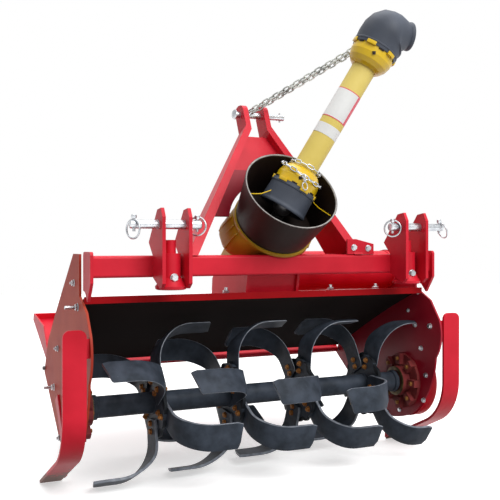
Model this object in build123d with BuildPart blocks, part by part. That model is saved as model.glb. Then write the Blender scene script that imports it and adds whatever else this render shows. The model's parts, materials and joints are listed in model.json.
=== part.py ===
from build123d import *
import os
from math import atan2, cos, degrees, hypot, radians, sin, sqrt, tan

# Light rotary tiller for a three-point hitch, standing on its blades and skids.
# +X to the right seen from the hitch, +Y to the rear, +Z up, millimetres.
os.makedirs("parts", exist_ok=True)

# ---------------------------------------------------------------- rotor
swing_radius = 215.0       # rotor axis to the outside of a blade's flat end
blade_width = 70.0
blade_thickness = 8.0
blade_bend = 96.0          # inner radius of the bend
blade_reach = 170.0        # from the flange's face to the blade's tip
blade_root = 44.0          # rotor axis to the blade's inner end
flange_radius = 92.0
flange_thickness = 10.0
flange_count = 4
flange_pitch = 226.0
first_flange_x = -308.0
left_turn = 12.5           # each row's left-reaching blades turn by this from their neighbours
right_turn = 9.0           # and its right-reaching blades by this
blade_plate_gap = 12.0     # between the last blades' tips and the side plate
first_left_angle = 36.5    # from straight ahead, upwards
first_right_angle = -19.5
rotor_tube_radius = 29.0
stub_radius = 20.0
running_clearance = 0.05

# ---------------------------------------------------------------- frame
inner_width = 1044.0       # between the side plates
plate_thickness = 6.0
end_plate_back = 78.0      # the end plates' rear edge ahead of the rotor's axis
housing_radius = 84.0
housing_depth = 34.0
housing_hub_radius = 46.0
housing_base = 9.0
housing_lugs = 8
beam_size = 55.0
beam_wall = 5.0
beam_corner = 8.0
beam_ahead = 112.5         # rotor axis forward to the beam's middle
beam_over_hood = 48.5      # clear height between the hood's front edge and the beam
end_plate_thickness = 8.0
hood_thickness = 4.0
hood_lip = 18.0
hood_front_ahead = 92.0
hood_fall = 26.85          # degrees the hood's chord falls to the rear
hood_gap = 7.1             # the chord to the blades' swing
hood_bulge = 16.0
hinge_behind = 396.0
hinge_rod_radius = 6.0
hinge_barrel_radius = 10.0
tail_length = 302.0
tail_rise = 24.6           # degrees the raised tailgate points up
tail_thickness = 4.0
seat_gap = 0.3

# ---------------------------------------------------------------- hitch
hitch_pitch = 729.0        # between the middles of the two clevises
hitch_x = 45.0             # the clevises' middle from the machine's middle
clevis_gap = 61.0
clevis_thickness = 9.0
lower_pin_radius = 11.0
lower_pin_root = 12.0      # its radius through the clevis
lower_pin_ahead = 185.0
lower_pin_above = 106.0    # above the beam's middle
pin_shoulder = 3.0
top_pin_radius = 9.5
top_pin_behind = 60.0
top_pin_above = 438.0      # above the beam's middle
mast_x = 16.0              # the mast's and drive's middle from the machine's middle
mast_foot_left = 288.0
mast_foot_right = 265.0
mast_gap = 66.0
mast_bar_width = 60.0
mast_bar_thickness = 16.0
mast_foot_back = 95.0      # the legs' feet reach this far behind the beam's middle

# ---------------------------------------------------------------- drive
drive_pitch = 38.0         # degrees the input shaft points up
bell_ahead = 189.0
bell_above = 202.0         # its rim's middle above the beam's middle
bell_radius = 133.0
bell_base_radius = 113.0
bell_depth = 135.0
bell_wall = 4.0
cast_flange_radius = 118.0
joint_depth = 68.0         # the lower joint's middle inside the bell
gearbox_back = 304.0       # middle of the bell to the middle of the gears
side_tube_radius = 62.0
case_thickness = 42.0
case_wall = 5.0
side_tube_wall = 6.0
gearbox_width = 150.0
cheek = 8.0                # thickness of the gearbox mount's two plates
case_low_radius = 112.0
case_high_radius = 66.0
input_shaft_radius = 17.5

# ---------------------------------------------------------------- PTO shaft
pto_length = 560.0         # between the two joints
pto_side = 28.9            # degrees it leans to the right
pto_forward = 12.0         # degrees it leans forward
guard_radius = 34.0
guard_wall = 3.0
guard_short = 110.0        # from each joint to the guard tube's end
cone_radius = 61.0
cone_mouth = 55.0          # from each joint to the cone's wide end
cone_wall = 3.0
cone_length = 62.0
lower_boot_end = 65.0
upper_boot_end = 32.0
upper_boot_bulge = 68.0    # its radius at the bend
boot_wall = 3.0
lower_boot_length = 70.0
upper_boot_length = 82.0
mouth_inset = 8.0          # the yoke stands out of the boot's mouth by this
upper_bend = 66.0          # degrees the upper boot bends further to the right
core_radius = 16.0
yoke_radius = 27.0
pto_bore_radius = 17.45

# ---------------------------------------------------------------- chain
link_wire = 4.0
link_length = 26.0
link_width = 15.0
link_slack = 0.3

# ---------------------------------------------------------------- skids
skid_gap = 9.0             # between the side plate and the skid
skid_width = 58.0
skid_thickness = 8.0
skid_ahead = 178.0
skid_above = 225.0         # the skid's top end above the rotor's axis
skid_knee_height = 150.0
skid_foot_behind = 118.0

# ---------------------------------------------------------------- worked out
corner_radius = hypot(swing_radius, blade_width / 2)
corner_angle = degrees(atan2(blade_width / 2, swing_radius))
# each row's blades: angle and the side they reach to
blade_rows = [
    [(first_left_angle - left_turn * row + 120 * n, -1) for n in range(3)]
    + [(first_right_angle - right_turn * row + 120 * n, 1) for n in range(3)]
    for row in range(flange_count)
]
blade_angles = [angle for row in blade_rows for angle, side in row]
# the lowest blade corner touches the floor
rotor_z = corner_radius * max(-sin(radians(a + s * corner_angle)) for a in blade_angles for s in (-1, 1))
drive_cos = cos(radians(drive_pitch))
drive_sin = sin(radians(drive_pitch))
tail_cos = cos(radians(tail_rise))
tail_sin = sin(radians(tail_rise))
# the PTO shaft's two directions: along its guard, and out of its bent upper end
pto_along = Vector(tan(radians(pto_side)), -tan(radians(pto_forward)), 1).normalized()
pto_across = pto_along.cross(Vector(0, 1, 0)).normalized()
pto_out = pto_along * cos(radians(upper_bend)) - pto_across * sin(radians(upper_bend))
# the plan's middle lies half way between the upper boot's mouth and the raised tailgate
joint_y = -bell_ahead + joint_depth * drive_cos + pto_length * pto_along.Y
pto_half = pto_along * cos(radians(upper_bend / 2)) - pto_across * sin(radians(upper_bend / 2))
sleeve = cone_radius + seat_gap
boot_neck = cone_mouth - 8
mouth_y = joint_y + (upper_boot_length - mouth_inset) * pto_out.Y
plan_front = min(
    joint_y - (upper_boot_bulge + boot_wall) * sqrt(1 - pto_half.Y ** 2),
    mouth_y - (upper_boot_end + boot_wall) * sqrt(1 - pto_out.Y ** 2),
)
plan_rear = hinge_behind + tail_length * tail_cos + tail_thickness / 2 * tail_sin
rotor_y = -(plan_front + plan_rear) / 2
inner_x = inner_width / 2
outer_x = inner_x + plate_thickness
beam_y = rotor_y - beam_ahead
hinge_y = rotor_y + hinge_behind
half_beam = beam_size / 2
hood_front_y = rotor_y - hood_front_ahead


def hood_line(behind):
    """Height of the hood's chord at a distance behind the rotor's axis."""
    fall = radians(hood_fall)
    return rotor_z + (corner_radius + hood_gap - behind * sin(fall)) / cos(fall)


hood_front_height = hood_line(-hood_front_ahead)
hinge_height = hood_line(hinge_behind)
beam_height = hood_front_height + beam_over_hood + half_beam
beam_top = beam_height + half_beam
beam_low = beam_height - half_beam
lower_pin_height = beam_height + lower_pin_above
top_pin_height = beam_height + top_pin_above
bell_height = beam_height + bell_above
skid_x = outer_x + skid_gap + skid_width / 2
skid_top = rotor_z + skid_above


def side_plane(x):
    """A plane across the machine at x, local x to the rear and local y up."""
    return Plane(origin=(x, 0, 0), x_dir=(0, 1, 0), z_dir=(1, 0, 0))


def finish(part, label):
    """Name a finished piece and write it."""
    part.label = label
    export_step(part, f"parts/{label}.step")


# ================================================================ rotor
with BuildPart() as rotor_tube:
    with BuildSketch(Plane(origin=(-inner_x + housing_depth + 2, rotor_y, rotor_z), z_dir=(1, 0, 0))):
        Circle(rotor_tube_radius)
    extrude(amount=2 * (inner_x - housing_depth - 2))
    with BuildSketch(Plane(origin=(-inner_x + 8, rotor_y, rotor_z), z_dir=(1, 0, 0))):
        Circle(stub_radius)
    extrude(amount=2 * (inner_x - 8))
finish(rotor_tube.part, "rotor_tube")


def make_flange(x, angles):
    """One rotor flange, scalloped between its six blades."""
    order = sorted(angle % 360 for angle in angles)
    middles = [(a + b) / 2 for a, b in zip(order, order[1:] + [order[0] + 360])]
    with BuildPart() as flange:
        face = Plane(origin=(x, rotor_y, rotor_z), x_dir=(0, -1, 0), z_dir=(-1, 0, 0))
        with BuildSketch(face):
            Circle(flange_radius)
            for middle in middles:
                with PolarLocations(flange_radius + 12, 1, start_angle=middle):
                    Circle(24, mode=Mode.SUBTRACT)
            Circle(rotor_tube_radius, mode=Mode.SUBTRACT)
        extrude(amount=flange_thickness / 2, both=True)
    return flange.part


def make_blade(x, angle, side):
    """One bent blade, bolted flat to the flange's face and reaching to one side."""
    face = x + side * flange_thickness / 2
    back = face + side * blade_thickness
    # a tip stays clear of the side plate
    reach = face + side * min(blade_reach, inner_x - blade_plate_gap - side * face)
    # local x stays +X, local y is the radius
    radial = Plane(
        origin=(0, rotor_y, rotor_z),
        x_dir=(1, 0, 0),
        z_dir=(0, -sin(radians(angle)), -cos(radians(angle))),
    )
    outer = swing_radius
    inner = swing_radius - blade_thickness
    with BuildPart() as blade:
        with BuildSketch(radial):
            with BuildLine():
                Line((face, blade_root), (face, inner - blade_bend))
                RadiusArc((face, inner - blade_bend), (face + side * (blade_bend + blade_thickness), outer),
                          side * (blade_bend + blade_thickness))
                Line((face + side * (blade_bend + blade_thickness), outer), (reach, outer))
                Line((reach, outer), (reach, inner))
                Line((reach, inner), (back + side * blade_bend, inner))
                RadiusArc((back + side * blade_bend, inner), (back, inner - blade_bend), -side * blade_bend)
                Line((back, inner - blade_bend), (back, blade_root))
                Line((back, blade_root), (face, blade_root))
            make_face()
        extrude(amount=blade_width / 2, both=True)
    return blade.part


for number in range(flange_count):
    flange_x = first_flange_x + flange_pitch * number
    row = blade_rows[number]
    finish(make_flange(flange_x, [angle for angle, side in row]), f"rotor_flange_{number + 1}")
    blades = [make_blade(flange_x, angle, side) for angle, side in row]
    finish(Compound(children=blades), f"blades_{number + 1}")

# ================================================================ side plates
# the plate's outline from the rotor's axis, y to the rear and z up: name, y, z
outline = {
    "front_top": (-132.0, 262.0),
    "front": (-173.0, 206.0),
    "chin": (-158.0, 90.0),
    "toe": (-48.0, -98.0),
    "heel": (185.0, -122.0),
    "rear": (hinge_behind + 14.0, hinge_height - rotor_z - 12.0),
    "rear_top": (352.0, 137.0),
    "back": (246.0, 226.0),
    "top": (8.0, beam_top + 4.0 - rotor_z),
}


def plate_profile():
    """The side plate's outline as a closed wire in the rotor plane's coordinates."""
    p = {name: (rotor_y + y, rotor_z + z) for name, (y, z) in outline.items()}
    with BuildLine() as line:
        Line(p["front_top"], p["front"])
        ThreePointArc(p["front"], (rotor_y - 182.0, rotor_z + 150.0), p["chin"])
        ThreePointArc(p["chin"], (rotor_y - 122.0, rotor_z - 20.0), p["toe"])
        ThreePointArc(p["toe"], (rotor_y + 66.0, rotor_z - 129.0), p["heel"])
        Line(p["heel"], p["rear"])
        Line(p["rear"], p["rear_top"])
        Line(p["rear_top"], p["back"])
        Line(p["back"], p["top"])
        Polyline(p["top"], (rotor_y - 60.0, p["top"][1]), (rotor_y - 60.0, hood_front_height),
                 p["front_top"])
    return line.wires()[0]


# the drive's side tube runs from the gearbox to the right plate
bell_rim = (mast_x, rotor_y - bell_ahead, bell_height)
shaft_dir = (0, -drive_cos, drive_sin)
gear_y = rotor_y - bell_ahead + gearbox_back * drive_cos + bell_depth * 0.5 * drive_cos
gear_z = bell_height - (gearbox_back + bell_depth * 0.5) * drive_sin

for name, side in [("left", -1), ("right", 1)]:
    with BuildPart() as side_plate:
        with BuildSketch(side_plane(side * (inner_x + plate_thickness / 2))):
            make_face(plate_profile())
            if side > 0:
                with Locations((gear_y, gear_z)):
                    Circle(case_high_radius)
            with Locations((hinge_y, hinge_height)):
                Circle(hinge_rod_radius, mode=Mode.SUBTRACT)
        extrude(amount=plate_thickness / 2, both=True)
    finish(side_plate.part, f"side_plate_{name}")

# ================================================================ bearings
for name, side in [("left", -1), ("right", 1)]:
    with BuildPart() as housing:
        wall = Plane(origin=(side * inner_x, rotor_y, rotor_z), x_dir=(0, 1, 0), z_dir=(-side, 0, 0))
        with BuildSketch(wall):
            Circle(housing_radius)
        extrude(amount=housing_base)
        with BuildSketch(wall):
            Circle(housing_hub_radius)
        extrude(amount=housing_depth)
        with BuildSketch(wall):
            with PolarLocations(housing_radius - 15, housing_lugs):
                Rectangle(34, 22)
        extrude(amount=housing_depth * 0.7)
        with BuildSketch(wall):
            Circle(stub_radius + running_clearance)
        extrude(amount=housing_depth, mode=Mode.SUBTRACT)
    finish(housing.part, f"bearing_housing_{name}")

with BuildPart() as bearing_cover:
    with BuildSketch(Plane(origin=(-outer_x, rotor_y, rotor_z), x_dir=(0, 1, 0), z_dir=(-1, 0, 0))):
        Circle(housing_radius - 9)
    extrude(amount=10)
    with BuildSketch(Plane(origin=(-outer_x - 10, rotor_y, rotor_z), x_dir=(0, 1, 0), z_dir=(-1, 0, 0))):
        Circle(housing_hub_radius - 4)
    extrude(amount=14, taper=12)
finish(bearing_cover.part, "bearing_cover")

# ================================================================ chain case
with BuildPart() as chain_case:
    with BuildSketch(side_plane(outer_x)) as case_outline:
        with BuildLine():
            span = hypot(gear_y - rotor_y, gear_z - rotor_z)
            lean = atan2(gear_z - rotor_z, gear_y - rotor_y)
            part_angle = sqrt(span ** 2 - (case_low_radius - case_high_radius) ** 2)
            swing = atan2(part_angle, case_low_radius - case_high_radius)
            ends = {}
            for tag, turn in [("front", lean + swing), ("back", lean - swing)]:
                ends[tag] = [
                    (rotor_y + case_low_radius * cos(turn), rotor_z + case_low_radius * sin(turn)),
                    (gear_y + case_high_radius * cos(turn), gear_z + case_high_radius * sin(turn)),
                ]
            low_far = (rotor_y - case_low_radius * cos(lean), rotor_z - case_low_radius * sin(lean))
            high_far = (gear_y + case_high_radius * cos(lean), gear_z + case_high_radius * sin(lean))
            Line(ends["front"][0], ends["front"][1])
            ThreePointArc(ends["front"][1], high_far, ends["back"][1])
            Line(ends["back"][1], ends["back"][0])
            ThreePointArc(ends["back"][0], low_far, ends["front"][0])
        make_face()
    extrude(amount=case_thickness)
    fillet(chain_case.faces().sort_by(Axis.X)[-1].edges(), radius=10)
    # a pan, open against the side plate
    with BuildSketch(side_plane(outer_x)):
        add(case_outline.sketch_local)
        offset(amount=-case_wall)
    extrude(amount=case_thickness - case_wall, mode=Mode.SUBTRACT)
finish(chain_case.part, "chain_case")

# ================================================================ beam
with BuildPart() as cross_beam:
    with BuildSketch(side_plane(-inner_x + end_plate_thickness)):
        with Locations((beam_y, beam_height)):
            RectangleRounded(beam_size, beam_size, beam_corner)
            RectangleRounded(beam_size - 2 * beam_wall, beam_size - 2 * beam_wall,
                             beam_corner - beam_wall, mode=Mode.SUBTRACT)
    extrude(amount=inner_width - 2 * end_plate_thickness)
finish(cross_beam.part, "cross_beam")

for name, side in [("left", -1), ("right", 1)]:
    with BuildPart() as end_plate:
        with BuildSketch(side_plane(side * inner_x)):
            with BuildLine():
                Polyline(
                    (beam_y - half_beam - 12, beam_height + half_beam + 10),
                    (rotor_y - end_plate_back, beam_top + 10),
                    (rotor_y - end_plate_back, hood_front_height + 16),
                    (hood_front_y - 6, hood_front_height + 12),
                    (hood_front_y - 28, hood_front_height - 11),
                    (beam_y - half_beam - 12, beam_height - half_beam - 12),
                    close=True,
                )
            make_face()
        extrude(amount=-side * end_plate_thickness)
        upright = end_plate.edges().filter_by(Axis.X)
        fillet(upright.group_by(Axis.Z)[-1], radius=10)
    finish(end_plate.part, f"beam_end_plate_{name}")

# ================================================================ hood
hood_mid_y = (hood_front_y + hinge_y) / 2
hood_mid_z = (hood_front_height + hinge_height) / 2
with BuildPart() as hood:
    with BuildSketch(side_plane(-inner_x + seat_gap)):
        with BuildLine():
            normal = (sin(radians(hood_fall)), cos(radians(hood_fall)))
            for depth in (0, hood_thickness):
                start = (hood_front_y, hood_front_height - depth)
                middle = (hood_mid_y + (hood_bulge - depth) * normal[0],
                          hood_mid_z + (hood_bulge - depth) * normal[1])
                end = (hinge_y - hinge_barrel_radius - 2 - depth * normal[0],
                       hinge_height + 20 - depth * normal[1])
                ThreePointArc(start, middle, end)
                if depth == 0:
                    top_end = end
                    hood_skin = (start, middle, end)
            Line(top_end, end)
            Line((hood_front_y, hood_front_height), (hood_front_y, hood_front_height - hood_thickness))
        make_face()
    extrude(amount=inner_width - 2 * seat_gap)
    with BuildSketch(side_plane(-inner_x + seat_gap)):
        with Locations((hood_front_y, hood_front_height)):
            Rectangle(hood_thickness, hood_lip, align=(Align.MIN, Align.MAX))
    extrude(amount=inner_width - 2 * seat_gap)
finish(hood.part, "hood")

# ================================================================ tailgate
hinge_rod_end = outer_x + 8
with BuildPart() as hinge_rod:
    with BuildSketch(side_plane(-hinge_rod_end)):
        with Locations((hinge_y, hinge_height)):
            Circle(hinge_rod_radius)
    extrude(amount=2 * hinge_rod_end)
finish(hinge_rod.part, "hinge_rod")

tail_inset = 6.0
tail_tilt = Plane(origin=(-inner_x + tail_inset, hinge_y, hinge_height),
                  x_dir=(0, tail_cos, tail_sin), z_dir=(1, 0, 0))
tail_width = inner_width - 2 * tail_inset
flank_height = 70.0
with BuildPart() as tailgate:
    with BuildSketch(tail_tilt):
        with Locations((0, -tail_thickness / 2)):
            Rectangle(tail_length, tail_thickness, align=(Align.MIN, Align.MIN))
        with Locations((tail_length - tail_thickness, 0)):
            Rectangle(tail_thickness, 22, align=(Align.MIN, Align.MIN))
        Circle(hinge_barrel_radius)
    extrude(amount=tail_width)
    for offset_x in (0, tail_width - tail_thickness):
        with BuildSketch(tail_tilt.offset(offset_x)):
            Polygon((0, 0), (tail_length, 0), (tail_length, 22), (tail_length * 0.45, flank_height),
                    (0, hinge_barrel_radius), align=None)
        extrude(amount=tail_thickness)
    with BuildSketch(tail_tilt):
        Circle(hinge_rod_radius + running_clearance)
    extrude(amount=tail_width, mode=Mode.SUBTRACT)
finish(tailgate.part, "tailgate")

# ================================================================ lower hitch
clevis_face = clevis_gap / 2
pin_y = rotor_y - lower_pin_ahead
beam_front = beam_y - half_beam
pin_reach_short = 34.0
pin_reach_long = 74.0
socket_radius = 25.0
sleeve_y = beam_front - seat_gap - socket_radius
for name, side in [("left", -1), ("right", 1)]:
    middle = hitch_x + side * hitch_pitch / 2
    with BuildPart() as clevis:
        for hand in (-1, 1):
            with BuildSketch(side_plane(middle + hand * (clevis_face + clevis_thickness / 2))):
                Polygon(
                    (pin_y - 31, lower_pin_height + 18),
                    (pin_y - 18, lower_pin_height + 41),
                    (pin_y + 10, lower_pin_height + 37),
                    (beam_front + 33, beam_top + 34),
                    (beam_front, beam_top),
                    (beam_front, beam_low),
                    (pin_y - 14, beam_low - 27),
                    (pin_y - 31, beam_low - 14),
                    align=None,
                )
                with Locations((pin_y, lower_pin_height)):
                    Circle(lower_pin_root, mode=Mode.SUBTRACT)
            extrude(amount=clevis_thickness / 2, both=True)
    finish(clevis.part, f"clevis_{name}")
    clevis_half = clevis_face + clevis_thickness
    with BuildPart() as pin:
        with BuildSketch(side_plane(middle - side * (clevis_half + pin_reach_short))):
            with Locations((pin_y, lower_pin_height)):
                Circle(lower_pin_root)
        extrude(amount=side * (2 * clevis_half + pin_reach_short + pin_shoulder))
        with BuildSketch(side_plane(middle + side * clevis_half)):
            with Locations((pin_y, lower_pin_height)):
                Circle(lower_pin_radius)
        extrude(amount=side * pin_reach_long)
        chamfer(pin.faces().filter_by(Axis.X).sort_by(Axis.X)[0].edges(), length=2)
        chamfer(pin.faces().filter_by(Axis.X).sort_by(Axis.X)[-1].edges(), length=2)
    finish(pin.part, f"lower_pin_{name}")
    with BuildPart() as socket:
        with BuildSketch(Plane.XY.offset(beam_low - 30)):
            with Locations((middle, sleeve_y)):
                Circle(socket_radius + 3)
        extrude(amount=14)
        with BuildSketch(Plane.XY.offset(beam_low - 18)):
            with Locations((middle, sleeve_y)):
                Circle(socket_radius)
        extrude(amount=beam_size + 24)
        with BuildSketch(Plane.XY.offset(beam_low)):
            with Locations((middle, sleeve_y)):
                Circle(13)
        extrude(amount=beam_size + 40)
    finish(socket.part, f"hitch_socket_{name}")

# ================================================================ mast
mast_y = beam_y
mast_lean = atan2(rotor_y + top_pin_behind - mast_y, top_pin_height - beam_top)
mast_plane = Plane(origin=(mast_x, mast_y, beam_top), x_dir=(1, 0, 0),
                   z_dir=(0, -cos(mast_lean), sin(mast_lean)))
pin_v = hypot(rotor_y + top_pin_behind - mast_y, top_pin_height - beam_top)
ear_x = mast_gap / 2
knee_v = pin_v - 62.0
strip = mast_bar_thickness
for name, side, mast_foot in [("left", -1, mast_foot_left), ("right", 1, mast_foot_right)]:
    with BuildPart() as mast_leg:
        with BuildSketch(mast_plane):
            Polygon(
                (side * (ear_x + strip / 2), pin_v + 30),
                (side * (ear_x - strip / 2), pin_v + 30),
                (side * (ear_x - strip / 2), knee_v),
                (side * (mast_foot - strip * 1.6), -30),
                (side * (mast_foot + strip * 0.3), -30),
                (side * (ear_x + strip / 2), knee_v + 12),
                align=None,
            )
        extrude(amount=mast_foot_back, both=True)
        # seen from the side the leg widens towards its foot
        half_bar = mast_bar_width / 2
        tip = pin_v + 30
        with BuildSketch(side_plane(mast_x)):
            Polygon(
                (mast_y - half_bar, beam_top),
                (mast_y + mast_foot_back, beam_top),
                (mast_y + knee_v * sin(mast_lean) + half_bar, beam_top + knee_v * cos(mast_lean)),
                (mast_y + tip * sin(mast_lean) + half_bar, beam_top + tip * cos(mast_lean)),
                (mast_y + tip * sin(mast_lean) - half_bar, beam_top + tip * cos(mast_lean)),
                align=None,
            )
        extrude(amount=2 * mast_foot_left, both=True, mode=Mode.INTERSECT)
        fillet(mast_leg.edges().filter_by(Axis.X).sort_by(Axis.Z)[-2:], radius=24)
        with BuildSketch(side_plane(0)):
            with Locations((rotor_y + top_pin_behind, top_pin_height)):
                Circle(top_pin_radius)
        extrude(amount=200, both=True, mode=Mode.SUBTRACT)
    finish(mast_leg.part, f"mast_leg_{name}")
with BuildPart() as top_pin:
    with BuildSketch(side_plane(mast_x - ear_x - strip / 2 - 16)):
        with Locations((rotor_y + top_pin_behind, top_pin_height)):
            Circle(top_pin_radius)
    extrude(amount=160)
finish(top_pin.part, "top_pin")

plate_high = pin_v - 74.0
plate_low = plate_high - 0.7 * plate_high


def leg_inner(v, foot):
    """From the mast's middle to a leg's inner side at height v up the mast."""
    low = foot - strip * 1.6
    high = ear_x - strip / 2
    return high + (low - high) * (knee_v - v) / (knee_v + 30)


with BuildPart() as mast_plate:
    with BuildSketch(mast_plane):
        Polygon(
            (-leg_inner(plate_low, mast_foot_left), plate_low),
            (leg_inner(plate_low, mast_foot_right), plate_low),
            (leg_inner(plate_high, mast_foot_right), plate_high),
            (-leg_inner(plate_high, mast_foot_left), plate_high),
            align=None,
        )
    extrude(amount=3, both=True)
    # an arch leaves room for the gearbox and the bell
    with BuildSketch(Plane(origin=bell_rim, x_dir=(1, 0, 0), z_dir=shaft_dir)):
        Circle(cast_flange_radius + 8)
    extrude(amount=260, both=True, mode=Mode.SUBTRACT)
finish(mast_plate.part, "mast_plate")

# ================================================================ gearbox
drive = Plane(origin=bell_rim, x_dir=(1, 0, 0), z_dir=shaft_dir)
bell_back = drive.offset(-bell_depth)
gear_middle = drive.offset(-(gearbox_back + bell_depth * 0.5))
box_front = 72.0
with BuildPart() as gearbox:
    with BuildSketch(gear_middle.offset(-box_front)):
        RectangleRounded(gearbox_width, 132, 20)
    extrude(amount=2 * box_front)
    with BuildSketch(gear_middle.offset(box_front)):
        Circle(52)
    extrude(amount=gearbox_back - bell_depth * 0.5 - box_front - 9 - seat_gap)
    fillet(gearbox.faces().sort_by(Axis.Y)[-1].edges(), radius=14)
finish(gearbox.part, "gearbox")

with BuildPart() as cast_flange:
    with BuildSketch(bell_back.offset(-9)):
        Circle(cast_flange_radius)
        Circle(input_shaft_radius + 1, mode=Mode.SUBTRACT)
    extrude(amount=9 - seat_gap)
finish(cast_flange.part, "gearbox_flange")

with BuildPart() as side_tube:
    tube_start = mast_x + gearbox_width / 2 + cheek
    for radius, start in [(side_tube_radius, tube_start), (case_high_radius - 2, inner_x - 10)]:
        with BuildSketch(side_plane(start)):
            with Locations((gear_y, gear_z)):
                Circle(radius)
                Circle(side_tube_radius - side_tube_wall, mode=Mode.SUBTRACT)
        extrude(amount=inner_x - start)
finish(side_tube.part, "side_tube")

# ================================================================ bell guard
with BuildPart() as bell:
    with BuildSketch(bell_back):
        Circle(bell_base_radius)
    with BuildSketch(drive):
        Circle(bell_radius)
    loft()
    with BuildSketch(bell_back.offset(bell_wall)):
        Circle(bell_base_radius - bell_wall)
    with BuildSketch(drive.offset(1)):
        Circle(bell_radius - bell_wall)
    loft(mode=Mode.SUBTRACT)
    with BuildSketch(bell_back):
        Circle(input_shaft_radius + 1)
    extrude(amount=20, mode=Mode.SUBTRACT)
finish(bell.part, "bell_guard")

# ================================================================ PTO shaft
lower_joint = drive.offset(-joint_depth).origin
pto = Plane(origin=lower_joint, x_dir=pto_across, z_dir=pto_along)


def turned(points, axis_plane):
    """A turned piece about axis_plane's z, from its half section's (radius, height) points."""
    section = Plane(origin=axis_plane.origin, x_dir=axis_plane.x_dir, z_dir=-axis_plane.y_dir)
    with BuildPart() as piece:
        with BuildSketch(section):
            Polygon(*points, align=None)
        revolve(axis=Axis(axis_plane.origin, axis_plane.z_dir))
    return piece.part


with BuildPart() as input_shaft:
    with BuildSketch(bell_back.offset(-9)):
        Circle(input_shaft_radius)
    extrude(amount=bell_depth + 9 - joint_depth - yoke_radius - seat_gap)
finish(input_shaft.part, "input_shaft")

upper_joint = pto.offset(pto_length)
bent = upper_joint.rotated((0, upper_bend, 0))
with BuildPart() as core:
    with BuildSketch(pto):
        Circle(core_radius)
    extrude(amount=pto_length)
    with Locations(pto.location, upper_joint.location):
        Sphere(yoke_radius)
    with BuildSketch(bent):
        Circle(yoke_radius - 3)
    extrude(amount=upper_boot_length)
    with BuildSketch(bent.offset(upper_boot_length)):
        Circle(pto_bore_radius)
    extrude(amount=-34, mode=Mode.SUBTRACT)
finish(core.part, "pto_shaft")

guard_end = pto_length - guard_short
finish(turned([(guard_radius - guard_wall, guard_short), (guard_radius, guard_short),
               (guard_radius, guard_end), (guard_radius - guard_wall, guard_end)], pto), "pto_guard")


def make_cone(plane):
    """A bearing cone, wide end towards the joint: plane's z runs from the joint to the tube."""
    w = cone_wall
    r = cone_radius
    top = cone_mouth + cone_length
    tube = guard_radius + seat_gap
    outer = [
        (tube, top),
        (tube + w + 2, top),
        (r - 14, top - 6),
        (r - 5, top - 18),
        (r, top - 34),
        (r, cone_mouth),
        (r - w, cone_mouth),
        (r - w, top - 35),
        (r - 5 - w, top - 18 - w / 2),
        (r - 15 - w, top - 7 - w / 2),
        (tube, guard_short - 1),
        (core_radius + seat_gap, guard_short - 1),
        (core_radius + seat_gap, guard_short - 0.5),
        (tube, guard_short - 0.5),
    ]
    return turned(outer, plane)


finish(make_cone(pto), "cone_lower")
finish(make_cone(Plane(origin=upper_joint.origin, x_dir=pto.x_dir, z_dir=-pto.z_dir)), "cone_upper")

boot_lap = cone_mouth + 8
boot_end = boot_lap - lower_boot_length
finish(turned([(sleeve, boot_lap), (sleeve + boot_wall, boot_lap), (sleeve + boot_wall, boot_neck),
               (lower_boot_end + boot_wall, boot_end), (lower_boot_end, boot_end),
               (sleeve, boot_neck)], pto), "boot_lower")

with BuildPart() as boot_upper:
    low = upper_joint.offset(-boot_lap)
    half_bent = upper_joint.rotated((0, upper_bend / 2, 0))
    stations = [
        (low, sleeve),
        (upper_joint.offset(-boot_neck), sleeve),
        (half_bent, upper_boot_bulge),
        (bent.offset(38), (upper_boot_bulge + upper_boot_end) / 2 + 4),
        (bent.offset(upper_boot_length - mouth_inset), upper_boot_end),
    ]
    for grow, mode in [(boot_wall, Mode.ADD), (0, Mode.SUBTRACT)]:
        for station, radius in stations:
            with BuildSketch(station):
                Circle(radius + grow)
        loft(ruled=True, mode=mode)
finish(boot_upper.part, "boot_upper")

# ================================================================ chain
def make_link(plane, roll):
    """One chain link: an eight-sided ring of square wire, its length along plane's z."""
    length = link_length / 2
    width = link_width / 2
    corner = link_width / 2 - 1
    shape = [(width, -length + corner), (width, length - corner), (1.5, length), (-1.5, length),
             (-width, length - corner), (-width, -length + corner), (-1.5, -length), (1.5, -length)]
    w = link_wire
    hole = [(width - w, -length + corner), (width - w, length - corner),
            (0.9, length - w), (-0.9, length - w),
            (w - width, length - corner), (w - width, corner - length),
            (-0.9, w - length), (0.9, w - length)]
    side = plane.x_dir * cos(radians(roll)) + plane.y_dir * sin(radians(roll))
    section = Plane(origin=plane.origin, x_dir=side, z_dir=side.cross(plane.z_dir))
    with BuildPart() as link:
        with BuildSketch(section):
            Polygon(*shape, align=None)
            Polygon(*hole, align=None, mode=Mode.SUBTRACT)
        extrude(amount=w / 2, both=True)
    return link.part


chain_links = []
pitch = link_length - 2 * link_wire - link_slack
overhang = (link_length - pitch) / 2 + 3 * seat_gap
collar_middle = pto_length - cone_mouth - 24
for pin_x, along in [(mast_x - 18.0, 8.0), (mast_x - 5.0, -8.0)]:
    pin_point = Vector(pin_x, rotor_y + top_pin_behind, top_pin_height)
    collar = pto.offset(collar_middle + along).origin
    reach = pin_point - collar
    outward = (reach - pto.z_dir * reach.dot(pto.z_dir)).normalized()
    end = collar + outward * (cone_radius + overhang)
    away = Vector(0, end.Y - pin_point.Y, end.Z - pin_point.Z).normalized()
    start = pin_point + away * (top_pin_radius + overhang)
    run = end - start
    count = round(run.length / pitch)
    for n in range(count):
        centre = start + run * ((n + 0.5) / count)
        along_run = Plane(origin=centre, x_dir=run.cross(Vector(0, 0, 1)), z_dir=run)
        chain_links.append(make_link(along_run, 45 + 90 * n))
finish(Compound(children=chain_links), "restraint_chain")

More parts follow.
